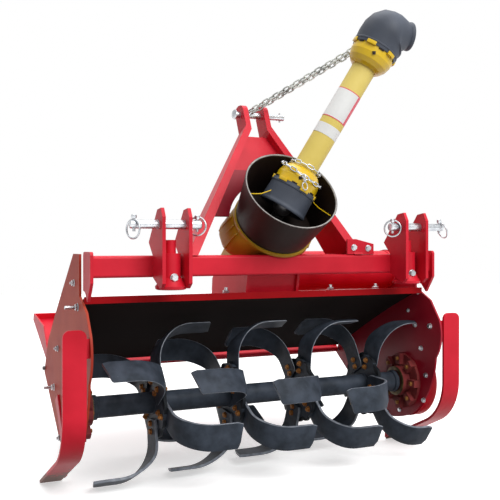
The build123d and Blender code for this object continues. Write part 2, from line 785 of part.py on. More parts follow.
# ================================================================ skids
skid_knee = (rotor_y - skid_ahead, skid_knee_height - 7)
for name, side in [("left", -1), ("right", 1)]:
    with BuildPart() as skid:
        with BuildSketch(side_plane(side * skid_x)):
            with BuildLine():
                path = FilletPolyline((rotor_y - skid_ahead, skid_top), skid_knee,
                                      (rotor_y + skid_foot_behind, 0), radius=150)
                offset(path, amount=skid_thickness, side=Side.LEFT)
            make_face()
        extrude(amount=skid_width / 2, both=True)
        fillet(skid.edges().filter_by(Axis.Y).group_by(Axis.Z)[-1], radius=18)
    finish(skid.part, f"skid_{name}")

for name, side in [("left", -1), ("right", 1)]:
    wall = side_plane(side * outer_x)
    link_back = rotor_y + skid_foot_behind - 6
    arm_fall = skid_knee[1] / (skid_ahead + skid_foot_behind)
    with BuildPart() as bracket:
        # upper lug: a web on the side plate and a pad behind the skid
        with BuildSketch(wall):
            Polygon((rotor_y - skid_ahead + skid_thickness, skid_top - 70),
                    (rotor_y - skid_ahead + skid_thickness, skid_top - 22),
                    (rotor_y - 128, skid_top - 30), (rotor_y - 128, skid_top - 62), align=None)
        extrude(amount=side * (skid_x - outer_x + 8))
        # lower link: down from the side plate to the skid's arm
        with BuildSketch(wall):
            Polygon((link_back, 8), (link_back, 132), (link_back - 30, 128),
                    (link_back - 30, 30 * arm_fall + 8), align=None)
        extrude(amount=side * (skid_x - skid_width / 2 - outer_x))
    finish(bracket.part, f"skid_bracket_{name}")

# ================================================================ gearbox mount
with BuildPart() as gearbox_mount:
    for side in (-1, 1):
        with BuildSketch(side_plane(mast_x + side * (gearbox_width + cheek) / 2)):
            Polygon((beam_y + half_beam, beam_top - 6),
                    (beam_y + half_beam, beam_low + 4),
                    (rotor_y - 60, hood_line(-60) - 40), (rotor_y + 190, hood_line(190) - 40),
                    (gear_y + 66, gear_z - 20), (gear_y + 10, gear_z + 30),
                    align=None)
            with BuildLine():
                ThreePointArc(hood_skin[0], hood_skin[1], hood_skin[2])
                Polyline(hood_skin[2], (hood_skin[0][0], hood_skin[2][1]), hood_skin[0])
            make_face(mode=Mode.SUBTRACT)
        extrude(amount=cheek / 2, both=True)
finish(gearbox_mount.part, "gearbox_mount")
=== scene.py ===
# %% [markdown]
# # A rotary tiller for a small tractor
#
# A rotary tiller hangs on a tractor's three-point hitch. The tractor's power shaft turns a
# gearbox, a chain case carries the turning down one side, and a rotor of bent blades chops the
# soil under a curved hood. This one is parked on its blades and two skids, with its shaft held
# up by a chain.
#
# The frame comes from the CAD model, with every plate, pin and tube at its real place. This
# notebook gives each of those a finish, models the pieces that CAD leaves plain, such as blades,
# chain links, rubber boots and bolts, and sets up the floor, light and camera.

# %% Load the frame
import json
import math

import bmesh
import bpy
import numpy
from mathutils import Matrix, Vector


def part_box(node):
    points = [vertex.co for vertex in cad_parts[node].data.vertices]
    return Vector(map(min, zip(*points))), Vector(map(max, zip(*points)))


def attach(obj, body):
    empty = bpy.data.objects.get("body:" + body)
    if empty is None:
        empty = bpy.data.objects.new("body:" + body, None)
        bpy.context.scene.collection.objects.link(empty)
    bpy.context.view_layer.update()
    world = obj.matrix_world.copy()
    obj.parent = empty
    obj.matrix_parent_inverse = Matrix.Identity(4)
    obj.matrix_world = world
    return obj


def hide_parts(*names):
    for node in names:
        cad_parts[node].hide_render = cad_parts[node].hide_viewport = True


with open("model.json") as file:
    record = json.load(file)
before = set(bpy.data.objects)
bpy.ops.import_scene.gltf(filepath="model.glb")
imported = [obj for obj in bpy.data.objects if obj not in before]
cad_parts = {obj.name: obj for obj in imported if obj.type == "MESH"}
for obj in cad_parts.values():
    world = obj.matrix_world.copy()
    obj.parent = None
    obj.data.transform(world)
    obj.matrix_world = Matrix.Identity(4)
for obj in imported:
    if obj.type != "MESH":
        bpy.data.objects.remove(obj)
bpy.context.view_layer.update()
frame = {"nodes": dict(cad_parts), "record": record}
bodies = frame["record"]["behaviour"]["bodies"]
print("bodies:", {name: len(nodes) for name, nodes in bodies.items()})

# %% [markdown]
# ## Colours and nodes
#
# Paint charts and plastics give colours as sRGB hex values, but a shader works with linear
# light. One function turns the first into the second, so that every colour below can be read
# and compared as it would be on a chart. A second one adds any shader node: it sets the node's
# properties, then links or fills its inputs. Written out by hand, each node would take four or
# five lines.

# %% Colour and node helpers
def linear(hex_colour):
    """An sRGB hex colour as linear RGBA."""
    channels = [int(hex_colour[i:i + 2], 16) / 255 for i in (1, 3, 5)]
    straight = [c / 12.92 if c <= 0.04045 else ((c + 0.055) / 1.055) ** 2.4 for c in channels]
    return (*straight, 1.0)


def node(tree, kind, inputs=None, **settings):
    """Add a shader node, set its properties and link or fill its inputs."""
    made = tree.nodes.new(kind)
    for key, value in settings.items():
        setattr(made, key, value)
    for key, value in (inputs or {}).items():
        if isinstance(value, bpy.types.NodeSocket):
            tree.links.new(value, made.inputs[key])
        else:
            made.inputs[key].default_value = value
    return made


# the Mix node's sockets for two colours and their result have shared names, so numbers are used
FACTOR, UNDER, OVER, RESULT = 0, 6, 7, 2
print("a red of the chart as linear light:", [round(c, 3) for c in linear("#D42034")[:3]])

# %% [markdown]
# ## What lies on top of a finish
#
# Farm paint is seldom clean. Three layers can go over any finish here: chips that show what is
# under the paint and mud splashed up from the ground, each drawn by a noise pattern at its real
# size, in millimetres, and a painted shade, nearly black and matt, on the faces that look down.
# Each could be painted by hand on an image, but a noise in object coordinates needs no
# unwrapping and has no seams. Each function below makes a layer, and the layer is laid when the
# finish is built.

# %% Chips, painted shade and mud
def chipped(bare, share):
    """A layer of chips about 26 mm apart that show a bare colour; share sets how many."""
    def lay(tree, place, colour, rough):
        spots = node(tree, "ShaderNodeTexNoise", {
            "Vector": place, "Scale": 1000 / 26, "Detail": 9.0, "Roughness": 0.75}).outputs["Fac"]
        start = 0.72 - share
        mask = node(tree, "ShaderNodeMapRange", {
            "Value": spots, "From Min": start, "From Max": start + 0.05}).outputs["Result"]
        mixed = node(tree, "ShaderNodeMix", {
            FACTOR: mask, UNDER: colour, OVER: linear(bare)}, data_type="RGBA")
        return mixed.outputs[RESULT], rough
    return lay


def painted_shade_facing(shade_colour, way):
    """A layer of painted shade, dark and matt, on the faces that look in a direction."""
    def lay(tree, place, colour, rough):
        normal = node(tree, "ShaderNodeTexCoord").outputs["Normal"]
        facing = node(tree, "ShaderNodeVectorMath", {
            0: normal, 1: way}, operation="DOT_PRODUCT").outputs["Value"]
        # faces turned this way take the dark colour of the painted shade
        mask = node(tree, "ShaderNodeMapRange", {
            "Value": facing, "From Min": 0.35, "From Max": 0.6}).outputs["Result"]
        mixed = node(tree, "ShaderNodeMix", {
            FACTOR: mask, UNDER: colour, OVER: linear(shade_colour)}, data_type="RGBA")
        matt = node(tree, "ShaderNodeMath", {0: rough, 1: mask}, operation="MAXIMUM")
        return mixed.outputs[RESULT], matt.outputs[0]
    return lay


def muddy_foot(soil, clean_height, caked_height):
    """A layer of mud splashes, 18 mm across, that grow thicker towards the ground."""
    def lay(tree, place, colour, rough):
        height = node(tree, "ShaderNodeSeparateXYZ", {0: place}).outputs["Z"]
        depth = node(tree, "ShaderNodeMapRange", {
            "Value": height, "From Min": clean_height, "From Max": caked_height}).outputs["Result"]
        splash = node(tree, "ShaderNodeTexNoise", {
            "Vector": place, "Scale": 1000 / 18, "Detail": 8.0, "Roughness": 0.7}).outputs["Fac"]
        wet = node(tree, "ShaderNodeMath", {0: splash, 1: depth}, operation="MULTIPLY").outputs[0]
        mask = node(tree, "ShaderNodeMapRange", {
            "Value": wet, "From Min": 0.30, "From Max": 0.42}).outputs["Result"]
        mixed = node(tree, "ShaderNodeMix", {
            FACTOR: mask, UNDER: colour, OVER: linear(soil)}, data_type="RGBA")
        return mixed.outputs[RESULT], rough
    return lay


print("three layers ready")

# %% [markdown]
# ## One recipe for every finish
#
# A real finish is never one flat colour. Its tone drifts over patches some centimetres wide,
# where the spray gun passed twice or the sun reached, and a fine grain breaks up its
# reflections: orange peel in paint, mould texture in plastic, pores in rubber. The recipe
# draws both with noise, whose scale is one over the real size in metres. Real orange peel is
# under a millimetre across, too fine to show from here, so it is drawn at 2.4 mm. The two
# bumps, fine grain and slow waves, are shallow, because sheet and castings are nearly flat.

# %% The recipe
def finish(name, low, high, patch_mm, roughness, grain_mm=2.4, grain_depth=0.0006, drift=0.15,
           metallic=0.0, clear=0.0, shine=0.35, layer=None):
    """A material whose colour drifts between two hex values, with a fine grain in its bump."""
    material = bpy.data.materials.new(name)
    material.use_nodes = True
    tree = material.node_tree
    tree.nodes.clear()
    place = node(tree, "ShaderNodeTexCoord").outputs["Object"]
    patches = node(tree, "ShaderNodeTexNoise", {
        "Vector": place, "Scale": 1000 / patch_mm, "Detail": 6.0}).outputs["Fac"]
    grain = node(tree, "ShaderNodeTexNoise", {
        "Vector": place, "Scale": 1000 / grain_mm, "Detail": 3.0}).outputs["Fac"]
    tone = node(tree, "ShaderNodeMapRange", {
        "Value": patches, "From Min": 0.5 - drift, "From Max": 0.5 + drift}).outputs["Result"]
    colour = node(tree, "ShaderNodeMix", {
        FACTOR: tone, UNDER: linear(low), OVER: linear(high)}, data_type="RGBA").outputs[RESULT]
    rough = node(tree, "ShaderNodeMapRange", {
        "Value": grain, "To Min": roughness - 0.06, "To Max": roughness + 0.1}).outputs["Result"]
    if layer:
        colour, rough = layer(tree, place, colour, rough)
    fine = node(tree, "ShaderNodeBump", {
        "Height": grain, "Distance": grain_depth, "Strength": 0.25})
    slow = node(tree, "ShaderNodeBump", {
        "Height": patches, "Distance": 0.004, "Strength": 0.08, "Normal": fine.outputs["Normal"]})
    surface = node(tree, "ShaderNodeBsdfPrincipled", {
        "Base Color": colour, "Roughness": rough, "Normal": slow.outputs["Normal"],
        "Metallic": metallic, "Coat Weight": clear, "Coat Roughness": 0.12,
        "Specular IOR Level": shine})
    node(tree, "ShaderNodeOutputMaterial", {"Surface": surface.outputs["BSDF"]})
    return material


print("recipe ready")

# %% [markdown]
# ## Paints
#
# The frame is steel sheet and bar, sprayed with a gloss alkyd enamel, the common paint of farm
# machines. New, it is a saturated red with a soft gloss. On the outer left side the sun and
# field work have bleached it to brick. The inner side of the right plate is given a deeper red,
# a painted shade, and inside the hood the faces that look down towards the rotor are painted
# nearly black, a painted shade too. The bearing housings hold dust in the pores of their
# castings. The gearbox is sand-cast iron in ochre enamel, with a coarser skin than rolled sheet.
# The blades are boron steel, dipped in a slate paint that soil wears off.

# %% Paint finishes
# sprayed enamel on sheet steel: an even red, with a soft, broad highlight
red_enamel = finish("red enamel on steel", "#BC1226", "#D42034", 167, 0.42, clear=0.04, shine=0.2)
# the same enamel, red outside and painted nearly black where it faces the rotor: painted shade
hood_enamel = finish("red enamel on the hood", "#B80A16", "#D0141E", 167, 0.42, shine=0.08,
                     layer=painted_shade_facing("#0C0403", (0, -0.45, -0.89)))
# enamel bleached by the sun: brick red, dull, with small dark chips
bleached_enamel = finish("sun-bleached enamel", "#9A2C1E", "#B0442C", 111, 0.55, drift=0.2,
                         shine=0.2, layer=chipped("#6A2A20", 0.03))
# red enamel darkened to a deeper, cooler red: painted shade for faces that lie in shade
painted_shade_enamel = finish("shaded enamel", "#8E0C22", "#A6142C", 167, 0.42, shine=0.25)
# enamel on the skids, with brown mud at their feet
muddy_enamel = finish("muddy enamel", "#BC1226", "#D42034", 167, 0.42, shine=0.2,
                      layer=muddy_foot("#6B3B26", 0.13, 0.02))
# enamel on a rough casting, dulled by dust
dusty_enamel = finish("dusty enamel on cast iron", "#6E2428", "#90403E", 56, 0.6, shine=0.2)
# ochre enamel on sand-cast iron: the sand's grain shows in its highlights
ochre_enamel = finish("ochre enamel on cast iron", "#A8821C", "#C09C2E", 167, 0.4,
                      grain_depth=0.0015)
# slate dip paint on boron steel: nearly matt, with paler rubbed spots
slate_paint = finish("slate dip paint", "#2A3038", "#3E4550", 40, 0.5, shine=0.12,
                     layer=chipped("#5C6069", 0.05))
# black primer on flame-cut steel: matt, nearly black
black_primer = finish("black primer", "#101215", "#1E2227", 40, 0.55, shine=0.1)
print("paints ready")

# %% [markdown]
# ## Metals, plastics and rubber
#
# Pins, bolts and chains are zinc plated: pale, bright and slightly cloudy. The bolts on the
# rotor have lost their zinc and rusted, and soil has ground the blades' edges to bare steel.
# The shaft's guard is polypropylene, extruded for the tube and injection moulded for the cones,
# the bell is moulded in black, and the boots over the joints are moulded rubber with a matt,
# faintly porous skin. Only clean metal is fully metallic. Rust and grease cover part of it.

# %% Metal and plastic finishes
# electroplated zinc: a bright, slightly cloudy mirror
zinc_plate = finish("zinc-plated steel", "#A2A6AB", "#CDD0D3", 25, 0.26, metallic=0.9)
# zinc gone dull outdoors: greyer, with a softer shine, on the restraint chain
dull_zinc = finish("weathered zinc", "#8C8F8C", "#C0C2BC", 25, 0.34, metallic=0.9)
# cold-drawn shaft steel: darker, with a satin shine
drawn_steel = finish("cold-drawn steel", "#55565A", "#7A7A7C", 167, 0.38, metallic=0.9)
# boron steel ground by soil: pale and dull along the blades' edges
ground_steel = finish("soil-ground steel", "#5E646E", "#858B94", 17, 0.45)
# rusted bolts: orange-brown grains over a little metal
rusted_steel = finish("rusted steel", "#74441E", "#A8743A", 11, 0.6, metallic=0.4)
# a bronze bush under old grease: brown, with a dull gleam
greasy_bronze = finish("greasy bronze", "#41351E", "#655231", 20, 0.4, metallic=0.5, drift=0.1)
# black polypropylene, moulded: dark brown-black, with a soft gloss
black_plastic = finish("black polypropylene", "#17100E", "#241A17", 167, 0.42, shine=0.2)
# its rim, scuffed pale
scuffed_rim = finish("scuffed polypropylene", "#6E6A68", "#A09C99", 25, 0.5)
# yellow polypropylene tube, extruded and faded: pale and matt
faded_yellow = finish("extruded yellow polypropylene", "#D4BC5C", "#E2CC72", 167, 0.5)
# yellow polypropylene cones, injection moulded: strong colour and a clear gloss
glossy_yellow = finish("moulded yellow polypropylene", "#CFA90A", "#E4BE1A", 167, 0.28, clear=0.2)
# moulded rubber: blue-grey and matt, with pores drawn at 3.8 mm so that they show
boot_rubber = finish("moulded rubber", "#333842", "#474D59", 167, 0.55, grain_mm=3.8)
# vinyl film, left blank, and its coloured border
white_vinyl = finish("white vinyl film", "#DCDCDA", "#E6E6E4", 167, 0.35, drift=0.1)
pink_vinyl = finish("pink vinyl film", "#D8485C", "#E2586A", 167, 0.35, drift=0.1)
print("metals, plastics and rubber ready")

# %% [markdown]
# ## Finishes on the CAD nodes
#
# The record names a material slot for each CAD node. Most nodes take their slot's usual finish.
# A few take another, because of where they sit on the machine: the sunny side, the ground, or a
# place in shade, the hood's underside and the right plate's inner side, whose darker colours are
# painted shade.

# %% Assign the finishes
finish_of_slot = {
    "red_paint": red_enamel, "blade_paint": slate_paint, "gear_gold": ochre_enamel,
    "zinc": zinc_plate, "steel": drawn_steel, "black_guard": black_plastic,
    "yellow_tube": faded_yellow, "yellow_cone": glossy_yellow, "boot_rubber": boot_rubber,
}
finish_by_place = {
    "skid_left": muddy_enamel, "skid_right": muddy_enamel, "hood": hood_enamel,
    # the right plate's inner side takes a darker red, a painted shade
    "side_plate_right": painted_shade_enamel, "side_plate_left": bleached_enamel,
    "bearing_cover": bleached_enamel, "bearing_housing_left": dusty_enamel,
    "bearing_housing_right": dusty_enamel,
}
for part in frame["record"]["subparts"]:
    name, slot = part["node"], part["material_slot"]
    mesh = frame["nodes"][name].data
    mesh.materials.clear()
    mesh.materials.append(finish_by_place.get(name, finish_of_slot[slot]))

# %% [markdown]
# ## From a bmesh to a piece
#
# Small parts are modelled once, about their own origin, with z as the axis that a lathe or a
# bolt would have. `stand` gives the matrix that puts such a part in its place, and `stamp`
# copies it there, into the bmesh of a whole piece. Many small things then make one object.
# `piece` makes the object, rounds its edges if asked, and says which body it rides on.

# %% Placing parts
def stand(place, way, roll=0.0):
    """A matrix that puts a part's origin at a place and its z axis along a direction."""
    turn = Vector(way).to_track_quat("Z", "Y").to_matrix().to_4x4()
    return Matrix.Translation(place) @ turn @ Matrix.Rotation(roll, 4, "Z")


def stamp(whole, part, at=None, paint=0):
    """Copy a part into a larger bmesh at a matrix; paint is its material's number."""
    placed = part.copy()
    if at is not None:
        bmesh.ops.transform(placed, matrix=at, verts=placed.verts)
    if paint is not None:
        for face in placed.faces:
            face.material_index = paint
    carrier = bpy.data.meshes.new("carrier")
    placed.to_mesh(carrier)
    placed.free()
    whole.from_mesh(carrier)
    bpy.data.meshes.remove(carrier)


def piece(name, whole, materials, body, rounding=0.0, stands_for=(), sharp_from=38):
    """An object from a bmesh, riding on a body; edges past sharp_from degrees stay crisp."""
    bmesh.ops.recalc_face_normals(whole, faces=whole.faces)
    mesh = bpy.data.meshes.new(name)
    whole.to_mesh(mesh)
    whole.free()
    for material in materials:
        mesh.materials.append(material)
    made = bpy.data.objects.new(name, mesh)
    bpy.context.scene.collection.objects.link(made)
    if rounding:
        rounded = made.modifiers.new("rounding", "BEVEL")
        rounded.width = rounding
        rounded.segments = 2
        rounded.limit_method = "ANGLE"
        rounded.angle_limit = math.radians(40)
    mesh.shade_smooth()
    mesh.set_sharp_from_angle(angle=math.radians(sharp_from))
    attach(made, body)
    if stands_for:
        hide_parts(*stands_for)
    print(name, len(mesh.polygons), "faces")


def box(name):
    """A node's lowest and highest corners as vectors."""
    low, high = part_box(name)
    return Vector(low), Vector(high)


spin_joint = next(j for j in frame["record"]["behaviour"]["joints"] if j["name"] == "rotor_spin")
axle = Vector(spin_joint["pos_m"])
print("the rotor's axle:", [round(v, 4) for v in axle])

# %% [markdown]
# ## Turned parts and plates
#
# Washers, bolt heads, covers and collars are all turned shapes: a half outline spun round an
# axis. Spinning is also how a hexagon head is made here, with only six steps. A plate starts
# from its few corners and is extruded by its thickness. A primitive cylinder would give none of
# the chamfers that catch the light on a real bolt.

# %% Turned parts and plates
FULL_TURN = 2 * math.pi


def new_verts(made):
    """The vertices in what an operator returns."""
    return [item for item in made["geom"] if isinstance(item, bmesh.types.BMVert)]


def turned(outline, sides=24):
    """A solid spun about z from (radius, height) points, closed at both ends."""
    part = bmesh.new()
    verts = [part.verts.new((radius, 0, height)) for radius, height in outline]
    edges = [part.edges.new(pair) for pair in zip(verts, verts[1:])]
    bmesh.ops.spin(part, geom=verts + edges, cent=(0, 0, 0), axis=(0, 0, 1), dvec=(0, 0, 0),
                   angle=FULL_TURN, steps=sides, use_merge=True)
    bmesh.ops.holes_fill(part, edges=[edge for edge in part.edges if edge.is_boundary])
    bmesh.ops.recalc_face_normals(part, faces=part.faces)
    return part


def plate(corners, thickness):
    """A plate from the corners of one face, in order, and its thickness as a vector."""
    part = bmesh.new()
    face = part.faces.new([part.verts.new(corner) for corner in corners])
    made = bmesh.ops.extrude_face_region(part, geom=[face])
    bmesh.ops.translate(part, vec=thickness, verts=new_verts(made))
    bmesh.ops.recalc_face_normals(part, faces=part.faces)
    return part


def block(centre, size, rounding=0.0005):
    """A small rounded block, such as a moulded tab."""
    part = bmesh.new()
    bmesh.ops.create_cube(part, size=1)
    bmesh.ops.scale(part, vec=size, verts=part.verts)
    bmesh.ops.bevel(part, geom=part.edges[:], offset=rounding, affect="EDGES", segments=2,
                    profile=0.5, material=-1)
    bmesh.ops.translate(part, vec=centre, verts=part.verts)
    return part


def bolt(whole, place, way, size, paint=0, stud=0.0, roll=0.4):
    """A hexagon head on its washer; stud is how far a thread stands out of a nut."""
    washer = turned([(size * 1.15, -0.0004), (size * 1.15, size * 0.16),
                     (size * 1.1, size * 0.2)], 20)
    stamp(whole, washer, stand(place, way), paint)
    head = turned([(size * 0.95, size * 0.2), (size, size * 0.28), (size, size * 0.78),
                   (size * 0.86, size * 0.9)], 6)
    stamp(whole, head, stand(place, way, roll), paint)
    if stud:
        thread = turned([(size * 0.5, size * 0.8), (size * 0.5, size * 0.85 + stud),
                         (size * 0.42, size * 0.9 + stud)], 12)
        stamp(whole, thread, stand(place, way), paint)


sample = turned([(0.01, 0), (0.01, 0.004), (0.008, 0.005)], 6)
print("a six-sided turning has", len(sample.faces), "faces")

# %% [markdown]
# ## Wire and sweeps
#
# Rings are spun from a small circle. Anything that follows a path, such as a rubber boot or a
# strap, starts as a ring of edges that is extruded from station to station, and each station is
# a matrix that says where the ring goes, how it leans and how large it is. A curve with a bevel
# would do for plain wire, but it couldn't change its radius into ribs and lips so directly.

# %% Wire and sweeps
def wire_ring(radius, wire, steps=32):
    """A closed ring of round wire about z."""
    part = bmesh.new()
    upright = Matrix.Translation((radius, 0, 0)) @ Matrix.Rotation(math.radians(90), 4, "X")
    bmesh.ops.create_circle(part, segments=10, radius=wire, matrix=upright)
    bmesh.ops.spin(part, geom=part.verts[:] + part.edges[:], cent=(0, 0, 0), axis=(0, 0, 1),
                   dvec=(0, 0, 0), angle=FULL_TURN, steps=steps, use_merge=True)
    bmesh.ops.recalc_face_normals(part, faces=part.faces)
    return part


def grow(part, ring, move):
    """Extrude a ring of edges, move the new ring by a matrix and return its edges."""
    made = bmesh.ops.extrude_edge_only(part, edges=ring)
    verts = set(new_verts(made))
    bmesh.ops.transform(part, matrix=move, verts=list(verts))
    return [item for item in made["geom"]
            if isinstance(item, bmesh.types.BMEdge) and verts.issuperset(item.verts)]


def swept(part, stations, hollow=False):
    """Extrude the ring in a bmesh through stations; hollow joins its last ring to its first."""
    first = ring = part.edges[:]
    bmesh.ops.transform(part, matrix=stations[0], verts=part.verts)
    for before, after in zip(stations, stations[1:]):
        ring = grow(part, ring, after @ before.inverted())
    if hollow:
        bmesh.ops.bridge_loops(part, edges=first + ring)
    else:
        bmesh.ops.holes_fill(part, edges=first + ring)
    bmesh.ops.recalc_face_normals(part, faces=part.faces)
    return part


def station(place, way, radius, guide=Vector((0, 1, 0))):
    """A matrix for a round ring: its centre, its direction and its radius."""
    way = Vector(way).normalized()
    side = guide.cross(way).normalized()
    turn = Matrix((side * radius, way.cross(side) * radius, way)).transposed().to_4x4()
    return Matrix.Translation(place) @ turn


def circle(sides):
    """A ring of edges with a radius of one, to be swept."""
    part = bmesh.new()
    bmesh.ops.create_circle(part, segments=sides, radius=1)
    return part


print("a wire ring has", len(wire_ring(0.02, 0.002).faces), "faces")

# %% [markdown]
# ## Blades
#
# A tiller blade is a flat bar of boron steel. Its leading side is ground thin, its root is
# bolted to a flange on the rotor, and it is forged over a former so that its far leg slices
# sideways through the soil. The far leg also leans, so that its back clears the cut that its
# edge has made. The mesh is made in the same order: a straight bar is extruded from its
# section, cut across where it will bend, painted while it is easy to say which face is which,
# and then bent. Modelling the bent shape directly would need every corner worked out in space.

# %% The blade's sizes, in metres
tip_radius = 0.215      # from the axle to the far leg's outer face
root_radius = 0.044
blade_width, blade_thick = 0.070, 0.008
inner_bend = 0.096
outer_bend = inner_bend + blade_thick
ground_width = 0.016    # how far the grinding reaches in from the leading side
blade_reach = 0.170     # from the flange's face to the tip, where there is room
tip_gap = 0.012         # what the outer blades keep clear of the side plates
tip_slant = 0.006       # the tip is cut on a slant
relief = math.radians(20)
half_width = blade_width / 2
shank = tip_radius - outer_bend - root_radius
quarter_bend = outer_bend * math.pi / 2
print("a blade's shank is", round(shank * 1000), "mm long, its bend", round(quarter_bend * 1000))


# %% The straight bar
def straight_bar(length):
    """The bar before it is bent: x across its width, y into its thickness, z along it."""
    chamfer = 0.0012
    section = [(-half_width, chamfer), (-half_width + chamfer, 0), (half_width - ground_width, 0),
               (half_width, blade_thick - 0.0022), (half_width, blade_thick),
               (-half_width + chamfer, blade_thick), (-half_width, blade_thick - chamfer)]
    bar = plate([(x, y, 0) for x, y in section], (0, 0, length))
    cuts = [0.012, *(shank + quarter_bend * i / 12 for i in range(13)), length - 0.010]
    for height in cuts:
        bmesh.ops.bisect_plane(bar, geom=bar.verts[:] + bar.edges[:] + bar.faces[:], dist=1e-6,
                               plane_co=(0, 0, height), plane_no=(0, 0, 1))
    bar.normal_update()
    for face in bar.faces:
        # soil grinds the two narrow sides and the tip to bare steel
        worn = abs(face.normal.x) > 0.6 or face.normal.z > 0.9
        face.material_index = 1 if worn else 0
    tip = [vert for vert in bar.verts if vert.co.z > length - 1e-6]
    for vert in tip:
        vert.co.z -= tip_slant * vert.co.x / half_width
    root = [vert for vert in bar.verts if vert.co.z < 1e-6]
    bmesh.ops.scale(bar, vec=(0.86, 1, 1), verts=root + tip)
    return bar


print("a straight bar has", len(straight_bar(0.3).faces), "faces")


# %% Bending the bar
def bent_blade(flange_face, angle, side, reach):
    """A blade at its place on the rotor; side is -1 to reach left and 1 to reach right."""
    out = Vector((0, -math.cos(angle), math.sin(angle)))
    lead = Vector((0, -math.sin(angle), -math.cos(angle)))
    across = Vector((side, 0, 0))
    centre = Vector((flange_face, axle.y, axle.z))
    bar = straight_bar(shank + quarter_bend + reach - outer_bend)
    for vert in bar.verts:
        x, y, z = vert.co
        turn = min(max((z - shank) / outer_bend, 0), math.pi / 2)
        past = max(z - shank - quarter_bend, 0)
        radius = root_radius + min(z, shank) + outer_bend * math.sin(turn)
        sideways = outer_bend * (1 - math.cos(turn)) + past
        # the lean grows smoothly through the bend
        share = math.sin(turn)
        lean = relief * share * share * (3 - 2 * share)
        width_way = lead * math.cos(lean) + out * math.sin(lean)
        outer_way = ((out * math.cos(lean) - lead * math.sin(lean)) * share
                     - across * math.cos(turn))
        vert.co = (centre + across * sideways + out * (radius - half_width * math.sin(lean))
                   - outer_way * y + width_way * x)
    return bar


print("blades bend round", round(outer_bend * 1000), "mm")

# %% [markdown]
# ## Flanges, bolts and rows
#
# Each of the four flanges carries six blades, three to each hand, and each row is turned a
# little from the one before, so that the blades enter the soil one after another. The flanges
# are flame cut, with a slightly wavy rim, which a disc with its corners moved in and out gives.
# Two bolts hold each blade. They are modelled in place because they are what the eye finds
# first in the dark middle of the rotor.

# %% Rows of blades
first_angle = {-1: 36.5, 1: -19.5}  # degrees, by the side that the blade reaches to
row_turn = {-1: 12.5, 1: 9.0}
blade_bolt_radii = (0.056, 0.078)
blade_bolt = 0.0076     # half the width of a bolt's head
disc_radius, disc_wave = 0.0935, 0.0035
disc_inset = 0.0004     # how far the disc stays inside the CAD flange's faces
plate_left, plate_right = box("side_plate_left")[1].x, box("side_plate_right")[0].x


def wavy_disc(radius, wave, thickness):
    """A flame-cut disc about z, with twelve shallow waves round its rim."""
    disc = bmesh.new()
    bmesh.ops.create_circle(disc, cap_ends=True, segments=96, radius=radius)
    for vert in disc.verts:
        vert.co *= 1 + wave / radius * math.cos(12 * math.atan2(vert.co.y, vert.co.x))
    made = bmesh.ops.extrude_face_region(disc, geom=disc.faces[:])
    bmesh.ops.translate(disc, vec=(0, 0, thickness), verts=new_verts(made))
    return disc


for row in range(4):
    low, high = box(f"rotor_flange_{row + 1}")
    blades, fasteners, flange = bmesh.new(), bmesh.new(), bmesh.new()
    for n in range(6):
        side = -1 if n < 3 else 1
        face, far = (low.x, high.x) if side < 0 else (high.x, low.x)
        room = (face - plate_left if side < 0 else plate_right - face) - tip_gap
        angle = math.radians(first_angle[side] - row_turn[side] * row + 120 * n)
        stamp(blades, bent_blade(face, angle, side, min(blade_reach, room)), paint=None)
        for radius in blade_bolt_radii:
            spot = axle + Vector((0, -math.cos(angle), math.sin(angle))) * radius
            bolt(fasteners, (face + side * blade_thick, spot.y, spot.z), (side, 0, 0), blade_bolt,
                 roll=angle + n)
            bolt(fasteners, (far, spot.y, spot.z), (-side, 0, 0), blade_bolt, stud=0.003,
                 roll=angle)
    # the disc stands past the CAD flange's rim
    stamp(flange, wavy_disc(disc_radius, disc_wave, high.x - low.x - 2 * disc_inset),
          stand((low.x + disc_inset, axle.y, axle.z), (1, 0, 0)))
    piece(f"flange_plate_{row + 1}", flange, [black_primer], "rotor",
          rounding=0.0008)
    piece(f"blade_row_{row + 1}", blades, [slate_paint, ground_steel], "rotor",
          stands_for=[f"blades_{row + 1}"])
    piece(f"flange_bolts_{row + 1}", fasteners, [rusted_steel], "rotor")

# %% [markdown]
# ## A chain link
#
# A link is round wire bent into a long loop. Half of it is made: a circle is extruded along
# half a side, spun through the bow and extruded back, and a mirror closes the loop. A torus
# stretched along one axis would thin the wire at its ends.

# %% The link
def chain_link(length, breadth, wire, sides=10):
    """A link with its length along x and its thin side along z."""
    bow = breadth / 2 - wire
    run = length / 2 - wire - bow
    link = bmesh.new()
    start = Matrix.Translation((0, -bow, 0)) @ Matrix.Rotation(math.radians(90), 4, "Y")
    bmesh.ops.create_circle(link, segments=sides, radius=wire, matrix=start)
    ring = grow(link, link.edges[:], Matrix.Translation((run, 0, 0)))
    ends = list({vert for edge in ring for vert in edge.verts})
    made = bmesh.ops.spin(link, geom=ends + ring, cent=(run, 0, 0), axis=(0, 0, 1),
                          dvec=(0, 0, 0), angle=math.pi, steps=6)
    ring = [item for item in made["geom_last"] if isinstance(item, bmesh.types.BMEdge)]
    grow(link, ring, Matrix.Translation((-run, 0, 0)))
    bmesh.ops.mirror(link, geom=link.verts[:] + link.edges[:] + link.faces[:], axis="X",
                     merge_dist=1e-5)
    bmesh.ops.recalc_face_normals(link, faces=link.faces)
    return link


def lie(centre, along, thin):
    """A matrix that lays a link's length and its thin side along two directions."""
    along, thin = along.normalized(), thin.normalized()
    turn = Matrix((along, thin.cross(along), thin)).transposed().to_4x4()
    return Matrix.Translation(centre) @ turn


link_length, link_breadth, link_wire = 0.027, 0.0155, 0.0021
print("a link has", len(chain_link(link_length, link_breadth, link_wire).faces), "faces")

# %% [markdown]
# ## The restraint chain
#
# The chain from the mast's top pin holds the shaft up while it is parked. CAD has every link in
# its place, as plain solids in one node. Each round-wire link goes where a CAD link is: the
# node's mesh is welded and parted into its links, and a link's points say which way it is long
# and which way it is thin. That is sturdier than repeating the CAD's own numbers here.

